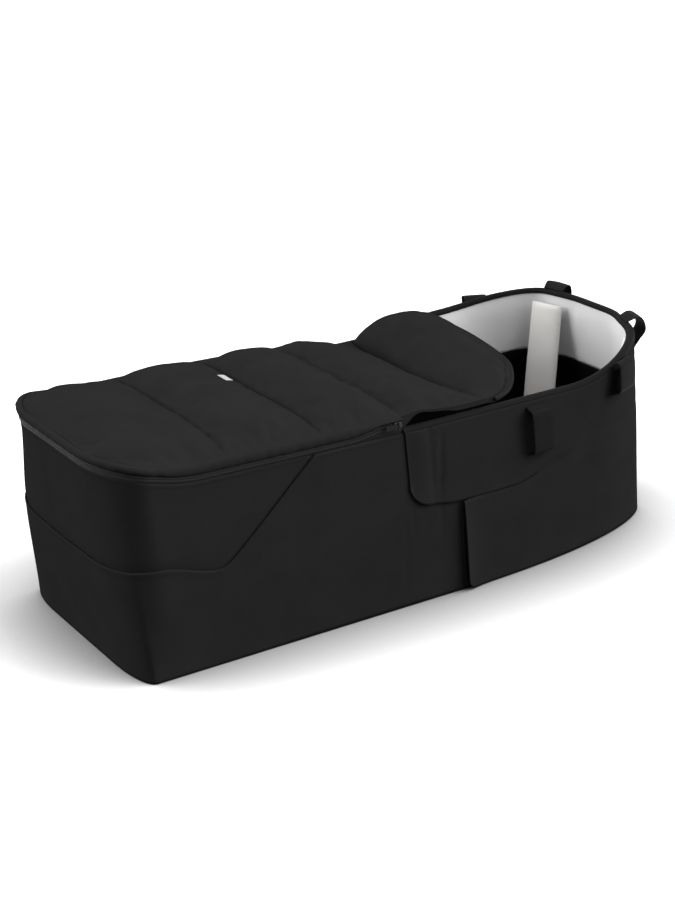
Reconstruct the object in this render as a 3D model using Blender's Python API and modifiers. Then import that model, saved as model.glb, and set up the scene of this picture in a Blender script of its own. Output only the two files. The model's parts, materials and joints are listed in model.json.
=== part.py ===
"""Soft carrycot with a zipped foot cover, a wind flap, folding corner stays and webbing loops.

Metres, +Z up. +X points to the open head end, -Y to the near side, and the base rests on Z = 0.
The walls are layers of one tapered shell: an outline at the base is lofted to an outline at the
rim, and every panel, board, lining, tape and cord is a band of that shell at its own depth.
"""
import math

import bmesh
import bpy
from mathutils import Quaternion, Vector

# Rim and base outlines
RIM_HALF_LENGTH = 0.425
RIM_HALF_WIDTH = 0.170
RIM_FOOT_CORNER_LONG = 0.051
RIM_FOOT_CORNER_WIDE = 0.098
RIM_HEAD_CORNER_LONG = 0.143
RIM_HEAD_CORNER_WIDE = 0.140
BASE_FOOT_INSET = 0.022
BASE_HEAD_OVERHANG = 0.012
BASE_SIDE_INSET = 0.0015
BASE_FOOT_CORNER_LONG = 0.020
BASE_FOOT_CORNER_WIDE = 0.078
BASE_HEAD_CORNER_LONG = 0.350
BASE_HEAD_CORNER_WIDE = 0.100

# Height of the rim along the side
RIM_HEIGHT = 0.248
RIM_SIDE_RISE = 0.0094
RIM_FOOT_RISE = 0.014
RIM_FOOT_RISE_REACH = 0.120
RIM_HEAD_RISE = 0.038
RIM_HEAD_RISE_REACH = 0.225
WALL_BELLY = 0.003

# Layers of the wall, counted inwards from the outer skin
SKIN = 0.0016
SKIN_STEP = 0.0006
LAYER_GAP = 0.0004
BOARD = 0.0030
LINING = 0.0030
OVERLAY = 0.0018
TOUCH_GAP = 0.0003

# Base, from the floor up
BASE_SKIN = 0.0016
BASE_BOARD = 0.0040
MATTRESS_THICK = 0.042
MATTRESS_CROWN = 0.007
MATTRESS_EDGE = 0.012
MATTRESS_INSET = 0.012
MATTRESS_HEAD_INSET = 0.061
MATTRESS_FOOT_CORNER = 0.060
MATTRESS_HEAD_CORNER_LONG = 0.160
MATTRESS_HEAD_CORNER_WIDE = 0.130

# Rim binding and rim wire
BINDING_DEPTH = 0.012

# Zip, counted up from the rim
TAPE = 0.0008
TAPE_DEPTH = 0.0004
CHAIN_PROUD = 0.0010
CHAIN_HEIGHT = 0.0023
CHAIN_THICK = 0.0024
ZIP_RISE = 0.0043
UPPER_TAPE_HEIGHT = 0.0017
PIPING_RADIUS = 0.0022
ZIP_LENGTH = 0.403

# Seams of the outer skin
SEAM_FOOT_HEIGHT = 0.149
SEAM_SIDE_HEIGHT = 0.127
SEAM_FALL_REACH = 0.090
SEAM_TURN_FROM_FOOT = 0.132
SEAM_TOP_FROM_FOOT = 0.277
SEAM_TURN_ROUND = 0.012
SEAM_SAG = 0.007
SEAM_SAG_HALF = 0.150
LINING_DROP = 0.090

# Overlay at the head: an upper flap and a lower wrap with a slit in front of it
HEAD_FLAP_LENGTH = 0.4455
HEAD_FLAP_CORNER = 0.026
HEAD_FLAP_LOW = 0.1320
HEAD_FLAP_FRONT_RISE = 0.0090
HEAD_FLAP_RISE = 0.030
HEAD_FLAP_RISE_FROM_HEAD = 0.285
HEAD_FLAP_RISE_REACH = 0.140
HEAD_WRAP_LENGTH = 0.368
HEAD_WRAP_CORNER = 0.014

# Boards inside the walls
FOOT_BOARD_LENGTH = 0.125
HEAD_BOARD_LENGTH = 0.250

# Foot cover
COVER_INSET = 0.0060
COVER_THICK = 0.0070
COVER_EDGE_THICK = 0.0034
COVER_FOOT_CROWN = 0.016
COVER_CROWN = 0.009
COVER_CROWN_REACH = 0.130
COVER_FOLD_SAG = 0.007
COVER_PUFFS = (0.003, 0.008, 0.009, 0.006)
COVER_FOOT_RAMP = 0.070
COVER_HINGE_FROM_FOOT = 0.156
MIDDLE_SEAM_FROM_FOOT = 0.288
FRONT_SEAM_FROM_FOOT = 0.404
FOLD_FROM_FOOT = 0.535
FOLD_OVER_RIM = 0.0055
COVER_LOWERS_FROM_FOOT = 0.445
HINGE_GAP = 0.00015

# Wind flap
FLAP_REACH = 0.108
FLAP_SIDE_INSET = 0.013
FLAP_THICK = 0.0045
FLAP_CURL = 0.034
FLAP_DOME = 0.006
FLAP_BINDING_RADIUS = 0.0026

# Zip slider and puller
SLIDER_FROM_ZIP_END = 0.008
SLIDER_LENGTH = 0.011
SLIDER_PLATE = 0.0012
SLIDER_CLEARANCE = 0.0004
SLIDER_LIP = 0.0014
LUG_LONG = 0.0024
LUG_THICK = 0.0012
PIN_RADIUS = 0.0006
EYE_BORE = 0.0009
EYE_RADIUS = 0.0017
EYE_LENGTH = 0.0044
PULLER_LENGTH = 0.020
PULLER_WIDTH = 0.0066
PULLER_THICK = 0.0018
PULLER_BEVEL = 0.0006

# Corner stays
NEAR_STAY_FROM_SIDE = 0.052
FAR_STAY_FROM_SIDE = 0.082
STAY_WIDTH = 0.045
STAY_THICK = 0.008
STAY_TOP_BELOW_RIM = 0.0165
STAY_BOW = 0.0004
STAY_LEAN = 0.033
STAY_NEAR_HINGE_HEIGHT = 0.070
STAY_FAR_HINGE_HEIGHT = 0.084
STAY_HINGE_GAP = 0.0052
STAY_BEVEL = 0.0025

# Webbing loops
WEBBING = 0.0018
WEBBING_WIDTH = 0.032
LOOP_STAND_OFF = 0.009
SIDE_LOOP_FROM_HEAD = 0.2415
SIDE_LOOP_BELOW_RIM = 0.012
SIDE_LOOP_DROP = 0.068
HEAD_LOOP_FROM_HEAD = 0.092
HEAD_LOOP_TOP = 0.001
HEAD_LOOP_DROP = 0.052
CORNER_LOOP_FROM_HEAD = 0.013
CORNER_LOOP_RISE = 0.007
CORNER_LOOP_DROP = 0.036
SEWN_END = 0.008

# Label
LABEL_FROM_FOOT = 0.276
LABEL_Y = 0.057
LABEL_LONG = 0.010
LABEL_WIDE = 0.024
LABEL_THICK = 0.0008

# Shares that shape the soft forms
FOOT_PANEL_END_SHARE = 0.86
FLAP_WIDE_SHARE = 0.985
FLAP_STEP_SHARE = 0.01
NARROWEST_STRAP_SHARE = 0.2
LUG_ROOT_SHARE = 0.25
ROUNDED_CORNER_SHARES = (0.0, 0.13, 0.4)

# Places of mesh columns along a side, as shares of the length: corners are closer
FOOT_CORNER_SHARE = 0.10
HEAD_CORNER_SHARE = 0.22
COLUMN_SPARE_SHARE = 0.0015

# Mesh columns and rows, and the twist that a four-sided face may keep
SIDE_COLUMNS = 11
FOOT_CORNER_COLUMNS = 6
HEAD_CORNER_COLUMNS = 8
CAP_COLUMNS = 3
WALL_ROWS = 4
BED_ROWS = 14
BED_HALF_COLUMNS = 4
COVER_HALF_COLUMNS = 5
CHANNEL_COLUMNS = 6
FLAP_ROWS = 6
FLAP_HALF_COLUMNS = 7
TWIST_ALLOWED = 0.0005

OBJECT_NAME = "carrycot"


# Scene

def clear_scene():
    """Remove every object that the file opened with."""
    for thing in list(bpy.data.objects):
        bpy.data.objects.remove(thing, do_unlink=True)


def make_collection(name):
    """Make a collection and link it to the scene."""
    group = bpy.data.collections.new(name)
    bpy.context.scene.collection.children.link(group)
    return group


clear_scene()
PARTS = make_collection(OBJECT_NAME)
CUTTERS = make_collection(OBJECT_NAME + "_cutters")


def make_material(name, colour, roughness, metallic=0.0):
    """Make a Principled material."""
    material = bpy.data.materials.new(name)
    material.use_nodes = True
    shader = material.node_tree.nodes["Principled BSDF"]
    shader.inputs["Base Color"].default_value = (*colour, 1.0)
    shader.inputs["Roughness"].default_value = roughness
    shader.inputs["Metallic"].default_value = metallic
    material.diffuse_color = (*colour, 1.0)
    return material


MATERIALS = {
    "outer_fabric": make_material("outer_fabric", (0.014, 0.014, 0.015), 0.75),
    "cover_fabric": make_material("cover_fabric", (0.017, 0.017, 0.018), 0.72),
    "edge_trim": make_material("edge_trim", (0.010, 0.010, 0.011), 0.65),
    "webbing": make_material("webbing", (0.013, 0.013, 0.014), 0.60),
    "zip_tape": make_material("zip_tape", (0.010, 0.010, 0.010), 0.70),
    "zip_chain": make_material("zip_chain", (0.012, 0.012, 0.012), 0.45),
    "zip_metal": make_material("zip_metal", (0.60, 0.60, 0.62), 0.25, 1.0),
    "puller": make_material("puller", (0.015, 0.015, 0.016), 0.50),
    "white_lining": make_material("white_lining", (0.78, 0.78, 0.77), 0.85),
    "dark_lining": make_material("dark_lining", (0.016, 0.013, 0.011), 0.90),
    "stay_fabric": make_material("stay_fabric", (0.72, 0.71, 0.69), 0.80),
    "mattress_cover": make_material("mattress_cover", (0.020, 0.018, 0.017), 0.90),
    "board": make_material("board", (0.10, 0.10, 0.10), 0.60),
    "base_skin": make_material("base_skin", (0.012, 0.012, 0.012), 0.80),
    "wire": make_material("wire", (0.45, 0.45, 0.46), 0.35, 1.0),
    "label": make_material("label", (0.45, 0.45, 0.46), 0.40),
}


def add_object(name, data, material, group=PARTS):
    """Link mesh or curve data as a named part with its own material."""
    thing = bpy.data.objects.new(name, data)
    data.materials.append(MATERIALS[material])
    group.objects.link(thing)
    return thing


def finish_mesh(name, shape, material, group=PARTS, smooth_angle=math.radians(35)):
    """Turn a bmesh into a named part, faces outwards, split the same way everywhere."""
    bmesh.ops.recalc_face_normals(shape, faces=shape.faces)
    bmesh.ops.triangulate(shape, faces=shape.faces, quad_method="FIXED")
    mesh = bpy.data.meshes.new(name)
    shape.to_mesh(mesh)
    shape.free()
    mesh.shade_smooth()
    mesh.set_sharp_from_angle(angle=smooth_angle)
    return add_object(name, mesh, material, group)


# Shell

def smoothstep(value):
    """Ease from 0 to 1."""
    value = min(max(value, 0.0), 1.0)
    return value * value * (3.0 - 2.0 * value)


def mix(a, b, share):
    """Go from a to b."""
    return a + (b - a) * share


class Outline:
    """Plan outline with straight sides, straight ends and elliptical corners."""

    def __init__(self, foot, head, half_width, foot_corner, head_corner):
        self.foot = foot
        self.head = head
        self.half_width = half_width
        self.foot_corner = foot_corner
        self.head_corner = head_corner

    def share_at(self, x):
        """Share of the length at which the outline has this x."""
        return (x - self.foot) / (self.head - self.foot)

    def side(self, share):
        """x, half width and outward normal of the far side at a share of the length."""
        x = mix(self.foot, self.head, share)
        for end, (long, wide), sign in ((self.foot, self.foot_corner, -1.0),
                                        (self.head, self.head_corner, 1.0)):
            reach = 1.0 - abs(x - end) / long
            if reach > 0.0:
                rise = math.sqrt(max(0.0, 1.0 - reach * reach))
                normal = Vector((sign * reach / long, rise / wide)).normalized()
                return x, self.half_width - wide + wide * rise, normal
        return x, self.half_width, Vector((0.0, 1.0))

    def at(self, station):
        """Point and outward normal in plan of a station: a share of the length and a share across."""
        share, across = station
        x, half, normal = self.side(share)
        if abs(across) < 1.0:
            return Vector((x, across * half)), Vector((normal.x, 0.0)).normalized()
        return Vector((x, across * half)), Vector((normal.x, math.copysign(normal.y, across)))


RIM = Outline(-RIM_HALF_LENGTH, RIM_HALF_LENGTH, RIM_HALF_WIDTH,
              (RIM_FOOT_CORNER_LONG, RIM_FOOT_CORNER_WIDE), (RIM_HEAD_CORNER_LONG, RIM_HEAD_CORNER_WIDE))
BASE = Outline(-RIM_HALF_LENGTH + BASE_FOOT_INSET, RIM_HALF_LENGTH + BASE_HEAD_OVERHANG,
               RIM_HALF_WIDTH - BASE_SIDE_INSET,
               (BASE_FOOT_CORNER_LONG, BASE_FOOT_CORNER_WIDE),
               (BASE_HEAD_CORNER_LONG, BASE_HEAD_CORNER_WIDE))

# Places along the length, counted from the ends that they belong to
SEAM_TURN_X = RIM.foot + SEAM_TURN_FROM_FOOT
SEAM_TOP_X = RIM.foot + SEAM_TOP_FROM_FOOT
ZIP_END_X = RIM.foot + ZIP_LENGTH
SLIDER_X = ZIP_END_X - SLIDER_FROM_ZIP_END
COVER_HINGE_X = RIM.foot + COVER_HINGE_FROM_FOOT
MIDDLE_SEAM_X = RIM.foot + MIDDLE_SEAM_FROM_FOOT
FRONT_SEAM_X = RIM.foot + FRONT_SEAM_FROM_FOOT
FOLD_X = RIM.foot + FOLD_FROM_FOOT
COVER_LOWERS_X = RIM.foot + COVER_LOWERS_FROM_FOOT
LABEL_X = RIM.foot + LABEL_FROM_FOOT
HEAD_FLAP_X = RIM.head - HEAD_FLAP_LENGTH
HEAD_FLAP_RISE_X = RIM.head - HEAD_FLAP_RISE_FROM_HEAD
HEAD_WRAP_X = RIM.head - HEAD_WRAP_LENGTH
FOOT_JOINT_X = RIM.foot + FOOT_BOARD_LENGTH
HEAD_JOINT_X = RIM.head - HEAD_BOARD_LENGTH
SIDE_LOOP_X = RIM.head - SIDE_LOOP_FROM_HEAD
HEAD_LOOP_X = RIM.head - HEAD_LOOP_FROM_HEAD
CORNER_LOOP_X = RIM.head - CORNER_LOOP_FROM_HEAD


def rim_height(x):
    """Height of the rim: a slow rise to the foot, lifted at both ends."""
    height = RIM_HEIGHT
    if x < 0.0:
        height += RIM_SIDE_RISE * (-x / RIM_HALF_LENGTH)
    foot_start = -RIM_HALF_LENGTH + RIM_FOOT_RISE_REACH
    head_start = RIM_HALF_LENGTH - RIM_HEAD_RISE_REACH
    height += RIM_FOOT_RISE * smoothstep((foot_start - x) / RIM_FOOT_RISE_REACH)
    height += RIM_HEAD_RISE * smoothstep((x - head_start) / RIM_HEAD_RISE_REACH)
    return height


def rim_at(station):
    """Height of the rim at a station."""
    return rim_height(RIM.at(station)[0].x)


def wall_point(station, height, depth):
    """Point of the shell at a height, a depth inwards from the outer skin."""
    low, low_normal = BASE.at(station)
    high, high_normal = RIM.at(station)
    rise = height / rim_at(station)
    normal = low_normal.lerp(high_normal, min(rise, 1.0)).normalized()
    belly = WALL_BELLY * math.sin(math.pi * min(rise, 1.0)) ** 2
    spot = low.lerp(high, rise) + normal * (belly - depth)
    return Vector((spot.x, spot.y, height))


def side_shares():
    """Shares of the length at which a side has mesh columns, foot to head."""
    shares = [FOOT_CORNER_SHARE * (1.0 - math.cos(0.5 * math.pi * i / FOOT_CORNER_COLUMNS))
              for i in range(FOOT_CORNER_COLUMNS)]
    shares += [mix(FOOT_CORNER_SHARE, 1.0 - HEAD_CORNER_SHARE, i / SIDE_COLUMNS)
               for i in range(SIDE_COLUMNS)]
    shares += [1.0 - HEAD_CORNER_SHARE * (1.0 - math.sin(0.5 * math.pi * i / HEAD_CORNER_COLUMNS))
               for i in range(HEAD_CORNER_COLUMNS + 1)]
    return shares


SIDE_SHARES = side_shares()


def run(side, start, stop):
    """Stations along one side between two shares, both ends included."""
    low, high = min(start, stop), max(start, stop)
    inner = [share for share in SIDE_SHARES if low + COLUMN_SPARE_SHARE < share < high - COLUMN_SPARE_SHARE]
    shares = [low] + inner + [high]
    if start > stop:
        shares.reverse()
    return [(share, side) for share in shares]


def cap(share, side):
    """Stations across an end, from one side to the other, both ends left out."""
    return [(share, side * (1.0 - 2.0 * i / CAP_COLUMNS)) for i in range(1, CAP_COLUMNS)]


def full_loop():
    """Stations all round the shell."""
    return run(-1, 0.0, 1.0) + cap(1.0, -1) + run(1, 1.0, 0.0) + cap(0.0, 1)


def round_foot(x):
    """Stations from the far side at x, round the foot end, to the near side at x."""
    share = RIM.share_at(x)
    return run(1, share, 0.0) + cap(0.0, 1) + run(-1, 0.0, share)


def round_head(x):
    """Stations from the near side at x, round the head end, to the far side at x."""
    share = RIM.share_at(x)
    return run(-1, share, 1.0) + cap(1.0, -1) + run(1, 1.0, share)


def along_side(side, start_x, stop_x):
    """Stations on one side between two places, in the order of the full loop."""
    start, stop = RIM.share_at(start_x), RIM.share_at(stop_x)
    return run(side, start, stop) if side < 0 else run(side, stop, start)


def skin_faces(shape, rings, closed):
    """Join rings of points, each a closed section, into a tube, and cap it if it has ends."""
    count = len(rings)
    size = len(rings[0])
    for i in range(count if closed else count - 1):
        this, following = rings[i], rings[(i + 1) % count]
        for j in range(size):
            shape.faces.new((this[j], following[j], following[(j + 1) % size], this[(j + 1) % size]))
    if not closed:
        shape.faces.new(rings[0])
        shape.faces.new(list(reversed(rings[-1])))


def poke_twisted(shape):
    """Split twisted quads about their middle, so that neighbouring layers keep their distance."""
    twisted = []
    for face in shape.faces:
        if len(face.verts) == 4:
            a, b, c, d = (vert.co for vert in face.verts)
            if (a - b + c - d).length > TWIST_ALLOWED:
                twisted.append(face)
    bmesh.ops.poke(shape, faces=twisted)


def loft(name, stations, section, closed, material):
    """Loft the section that each station gives: a list of heights and depths round the section."""
    shape = bmesh.new()
    rings = [[shape.verts.new(wall_point(station, height, depth)) for height, depth in section(station)]
             for station in stations]
    skin_faces(shape, rings, closed)
    poke_twisted(shape)
    return finish_mesh(name, shape, material)


def band(name, stations, low, high, outer, thick, closed, material, rows=WALL_ROWS):
    """A layer of the wall from the height low to the height high, each a function of the station."""
    def section(station):
        bottom, top = low(station), high(station)
        outside = [(mix(bottom, top, i / rows), outer) for i in range(rows + 1)]
        inside = [(mix(top, bottom, i / rows), outer + thick) for i in range(rows + 1)]
        return outside + inside
    return loft(name, stations, section, closed, material)


def rail(name, stations, outline, closed, material):
    """A strip that keeps one section, given as heights over the rim and depths."""
    def section(station):
        rim = rim_at(station)
        return [(rim + height, depth) for height, depth in outline]
    return loft(name, stations, section, closed, material)


def bar_outline(low, high, outer, thick):
    """Outline of a flat strip for rail."""
    return [(low, outer), (high, outer), (high, outer + thick), (low, outer + thick)]


def cord(name, points, radius, cyclic, material, resolution=1):
    """A round cord or wire along points."""
    curve = bpy.data.curves.new(name, "CURVE")
    curve.dimensions = "3D"
    curve.bevel_depth = radius
    curve.bevel_resolution = resolution
    curve.use_fill_caps = True
    spline = curve.splines.new("POLY")
    spline.points.add(len(points) - 1)
    for spot, point in zip(spline.points, points):
        spot.co = (*point, 1.0)
    spline.use_cyclic_u = cyclic
    return add_object(name, curve, material)


# Depths that several pieces share
BOARD_DEPTH = SKIN + SKIN_STEP + LAYER_GAP
LINING_DEPTH = BOARD_DEPTH + BOARD + LAYER_GAP
INNER_LEG_DEPTH = LINING_DEPTH + LINING + LAYER_GAP
WIRE_RADIUS = 0.5 * (INNER_LEG_DEPTH - SKIN) - TOUCH_GAP
WIRE_DEPTH = 0.5 * (INNER_LEG_DEPTH + SKIN)
WIRE_DROP = SKIN + TOUCH_GAP + WIRE_RADIUS
WALL_TOP_DROP = WIRE_DROP + WIRE_RADIUS + LAYER_GAP
WALL_FOOT = BASE_SKIN + TOUCH_GAP
BOARD_TOP = WALL_FOOT + BASE_BOARD
INNER_FOOT = BOARD_TOP + LAYER_GAP
PANEL_TOP_DROP = BINDING_DEPTH + LAYER_GAP
OVERLAY_DEPTH = -OVERLAY - LAYER_GAP


def lining_split(station):
    """Height at which the white lining meets the dark one."""
    return rim_at(station) - LINING_DROP


def seam_height(station):
    """Height of the seam that runs round the foot and turns up to the rim on each side."""
    x, y = RIM.at(station)[0]
    slope_share = (RIM_HEIGHT - SEAM_SIDE_HEIGHT) / (SEAM_TOP_X - SEAM_TURN_X)
    past = x - SEAM_TURN_X
    climb = slope_share * 0.5 * (past + math.hypot(past, SEAM_TURN_ROUND))
    level = mix(SEAM_SIDE_HEIGHT, SEAM_FOOT_HEIGHT, smoothstep(-past / SEAM_FALL_REACH))
    sag = SEAM_SAG * smoothstep(-past / SEAM_FALL_REACH) * max(0.0, 1.0 - (y / SEAM_SAG_HALF) ** 2)
    return level + climb - sag


def panel_top(station):
    """Top edge of the outer skin."""
    return rim_at(station) - PANEL_TOP_DROP


def wall_top(station):
    """Top edge of the boards and linings."""
    return rim_at(station) - WALL_TOP_DROP


def even_shares(half_columns):
    """Shares across from -1 to 1, closer together at both edges."""
    return [math.sin(0.5 * math.pi * i / half_columns) for i in range(-half_columns, half_columns + 1)]


# Base

def slab(name, depth, bottom, top, material):
    """A flat plate that fills the shell between two heights, out to a depth in the wall."""
    shape = bmesh.new()
    rings = [[shape.verts.new(wall_point(station, height, depth)) for height in (bottom, top)]
             for station in full_loop()]
    count = len(rings)
    for i in range(count):
        this, following = rings[i], rings[(i + 1) % count]
        shape.faces.new((this[0], following[0], following[1], this[1]))
    shape.faces.new([ring[1] for ring in rings])
    shape.faces.new([ring[0] for ring in reversed(rings)])
    return finish_mesh(name, shape, material)


def pad(name, places, shares, top, bottom, material):
    """A soft closed form over a grid: places gives plan points for a row and a share across."""
    shape = bmesh.new()
    rows = len(places)
    columns = len(shares)
    upper = []
    lower = []
    for place in places:
        spots = [place(share) for share in shares]
        upper.append([shape.verts.new((*spot, top(spot, share))) for spot, share in zip(spots, shares)])
        lower.append([shape.verts.new((*spot, bottom(spot, share))) for spot, share in zip(spots, shares)])
    for i in range(rows - 1):
        for j in range(columns - 1):
            shape.faces.new((upper[i][j], upper[i + 1][j], upper[i + 1][j + 1], upper[i][j + 1]))
            shape.faces.new((lower[i][j], lower[i][j + 1], lower[i + 1][j + 1], lower[i + 1][j]))
    border = [(i, 0) for i in range(rows)] + [(rows - 1, j) for j in range(1, columns)]
    border += [(i, columns - 1) for i in range(rows - 2, -1, -1)]
    border += [(0, j) for j in range(columns - 2, 0, -1)]
    for k, (i, j) in enumerate(border):
        m, n = border[(k + 1) % len(border)]
        shape.faces.new((upper[i][j], lower[i][j], lower[m][n], upper[m][n]))
    return finish_mesh(name, shape, material, smooth_angle=math.radians(60))


def build_base():
    """Base skin, base board and mattress."""
    slab("base_skin", 0.0, 0.0, BASE_SKIN, "base_skin")
    slab("base_board", SKIN + LAYER_GAP, WALL_FOOT, BOARD_TOP, "board")
    bed = Outline(BASE.foot + LINING_DEPTH + MATTRESS_INSET, RIM_HALF_LENGTH - MATTRESS_HEAD_INSET,
                  BASE.half_width - LINING_DEPTH - MATTRESS_INSET,
                  (MATTRESS_FOOT_CORNER, MATTRESS_FOOT_CORNER),
                  (MATTRESS_HEAD_CORNER_LONG, MATTRESS_HEAD_CORNER_WIDE))
    bed_floor = BOARD_TOP + TOUCH_GAP
    along_shares = [0.5 - 0.5 * math.cos(math.pi * i / BED_ROWS) for i in range(BED_ROWS + 1)]
    across_shares = even_shares(BED_HALF_COLUMNS)

    def place_at(share):
        return lambda across: Vector((bed.side(share)[0], across * bed.side(share)[1]))

    def edge_drop(spot):
        half = bed.side(bed.share_at(spot.x))[1]
        edge = min(half - abs(spot.y), spot.x - bed.foot, bed.head - spot.x)
        return MATTRESS_EDGE * (1.0 - min(max(edge, 0.0) / MATTRESS_EDGE, 1.0)) ** 2

    def top(spot, share):
        middle = (1.0 - share ** 4) * (1.0 - (2.0 * bed.share_at(spot.x) - 1.0) ** 4)
        return bed_floor + MATTRESS_THICK + MATTRESS_CROWN * middle - edge_drop(spot)

    pad("mattress", [place_at(share) for share in along_shares], across_shares, top,
        lambda spot, share: bed_floor, "mattress_cover")


# Walls

def build_outer_skin():
    """The main skin, the foot panel above the seam and the two overlays round the head."""
    def body_top(station):
        return min(seam_height(station) - 0.5 * LAYER_GAP, panel_top(station))

    band("body_panel", full_loop(), lambda station: WALL_FOOT, body_top, 0.0, SKIN, True, "outer_fabric")
    foot_stations = round_foot(mix(SEAM_TURN_X, SEAM_TOP_X, FOOT_PANEL_END_SHARE))
    band("foot_upper_panel", foot_stations, lambda station: seam_height(station) + 0.5 * LAYER_GAP,
         panel_top, SKIN_STEP, SKIN, False, "outer_fabric")

    def split(station):
        x = RIM.at(station)[0].x
        lift = HEAD_FLAP_RISE * smoothstep((x - HEAD_FLAP_RISE_X) / HEAD_FLAP_RISE_REACH)
        front = HEAD_FLAP_FRONT_RISE * (1.0 - smoothstep((x - HEAD_FLAP_X) / (HEAD_WRAP_X - HEAD_FLAP_X)))
        return HEAD_FLAP_LOW + lift + front

    def rounded(edge_x, radius, station):
        reach = 1.0 - (RIM.at(station)[0].x - edge_x) / radius
        return radius * (1.0 - math.sqrt(1.0 - min(max(reach, 0.0), 1.0) ** 2))

    def flap_low(station):
        return split(station) + 0.5 * LAYER_GAP + rounded(HEAD_FLAP_X, HEAD_FLAP_CORNER, station)

    def wrap_low(station):
        return WALL_FOOT + rounded(HEAD_WRAP_X, HEAD_WRAP_CORNER, station)

    def with_corner(edge_x, radius):
        nears = [(RIM.share_at(edge_x + radius * share), -1) for share in ROUNDED_CORNER_SHARES]
        middle = round_head(edge_x + radius)
        fars = [(share, 1) for share, side in reversed(nears)]
        return nears + middle + fars

    band("head_flap", with_corner(HEAD_FLAP_X, HEAD_FLAP_CORNER), flap_low, panel_top,
         OVERLAY_DEPTH, OVERLAY, False, "outer_fabric", rows=2)
    band("head_wrap", with_corner(HEAD_WRAP_X, HEAD_WRAP_CORNER), wrap_low,
         lambda station: split(station) - 0.5 * LAYER_GAP, OVERLAY_DEPTH, OVERLAY, False,
         "outer_fabric", rows=3)


def build_boards():
    """Four boards that stiffen the walls and stand on the edge of the base board."""
    joint = 0.5 * LAYER_GAP
    runs = {
        "foot_board": round_foot(FOOT_JOINT_X - joint),
        "near_side_board": along_side(-1, FOOT_JOINT_X + joint, HEAD_JOINT_X - joint),
        "far_side_board": along_side(1, FOOT_JOINT_X + joint, HEAD_JOINT_X - joint),
        "head_board": round_head(HEAD_JOINT_X + joint),
    }
    for name, stations in runs.items():
        band(name, stations, lambda station: INNER_FOOT, wall_top, BOARD_DEPTH, BOARD, False, "board")


def build_linings():
    """Dark lining below, white lining above."""
    band("lower_lining", full_loop(), lambda station: INNER_FOOT,
         lambda station: lining_split(station) - 0.5 * LAYER_GAP, LINING_DEPTH, LINING, True,
         "dark_lining", rows=3)
    band("upper_lining", full_loop(), lambda station: lining_split(station) + 0.5 * LAYER_GAP,
         wall_top, LINING_DEPTH, LINING, True, "white_lining", rows=2)


def build_rim():
    """Wire all round the rim and the binding over its open part."""
    wire = [wall_point(station, rim_at(station) - WIRE_DROP, WIRE_DEPTH) for station in full_loop()]
    cord("rim_wire", wire, WIRE_RADIUS, True, "wire")
    outer, inner = SKIN, INNER_LEG_DEPTH
    u_outline = [(-BINDING_DEPTH, 0.0), (-SKIN, 0.0), (0.0, SKIN), (0.0, inner),
                 (-SKIN, inner + SKIN), (-BINDING_DEPTH, inner + SKIN), (-BINDING_DEPTH, inner),
                 (-SKIN, inner), (-SKIN, outer), (-BINDING_DEPTH, outer)]
    rail("rim_binding", round_head(ZIP_END_X + LAYER_GAP), u_outline, False, "edge_trim")


# Zip

CHAIN_LOW = ZIP_RISE
CHAIN_SPLIT = ZIP_RISE + CHAIN_HEIGHT
CHAIN_TOP = CHAIN_SPLIT + LAYER_GAP + CHAIN_HEIGHT
UPPER_TAPE_LOW = CHAIN_TOP + TOUCH_GAP
UPPER_TAPE_TOP = UPPER_TAPE_LOW + UPPER_TAPE_HEIGHT
CHAIN_DEPTH = TAPE_DEPTH - CHAIN_PROUD
PIPING_HEIGHT = UPPER_TAPE_TOP + TOUCH_GAP + PIPING_RADIUS
PIPING_DEPTH = TAPE_DEPTH + 0.5 * TAPE + PIPING_RADIUS
ZIP_CENTRE = CHAIN_SPLIT + 0.5 * LAYER_GAP


def build_zip():
    """Tapes, chain halves and piping: a fixed lower half, and an upper half cut at the cover's hinge."""
    end = ZIP_END_X - LAYER_GAP
    lower = round_foot(end)
    tape_low = bar_outline(-BINDING_DEPTH, CHAIN_LOW - TOUCH_GAP, TAPE_DEPTH, TAPE)
    chain_low = bar_outline(CHAIN_LOW, CHAIN_SPLIT, CHAIN_DEPTH, CHAIN_THICK)
    tape_high = bar_outline(UPPER_TAPE_LOW, UPPER_TAPE_TOP, TAPE_DEPTH, TAPE)
    chain_high = bar_outline(CHAIN_SPLIT + LAYER_GAP, CHAIN_TOP, CHAIN_DEPTH, CHAIN_THICK)
    rail("lower_zip_tape", lower, tape_low, False, "zip_tape")
    rail("lower_zip_chain", lower, chain_low, False, "zip_chain")
    runs = {
        "rear": round_foot(COVER_HINGE_X - HINGE_GAP),
        "near": along_side(-1, COVER_HINGE_X + HINGE_GAP, end),
        "far": along_side(1, COVER_HINGE_X + HINGE_GAP, end),
    }
    for place, stations in runs.items():
        rail(place + "_upper_zip_tape", stations, tape_high, False, "zip_tape")
        rail(place + "_upper_zip_chain", stations, chain_high, False, "zip_chain")
        line = [wall_point(station, rim_at(station) + PIPING_HEIGHT, PIPING_DEPTH) for station in stations]
        cord(place + "_piping", line, PIPING_RADIUS, False, "edge_trim")


def slider_place(side):
    """Centre of the chain's outer face where a slider sits."""
    station = (RIM.share_at(SLIDER_X), side)
    return wall_point(station, rim_at(station) + ZIP_CENTRE, CHAIN_DEPTH)


def prism(name, outline, half_length, material, group=PARTS):
    """An outline in the Y-Z plane, extruded along X to both sides."""
    shape = bmesh.new()
    rings = [[shape.verts.new((x, y, z)) for y, z in outline] for x in (-half_length, half_length)]
    skin_faces(shape, rings, False)
    return finish_mesh(name, shape, material, group)


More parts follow.
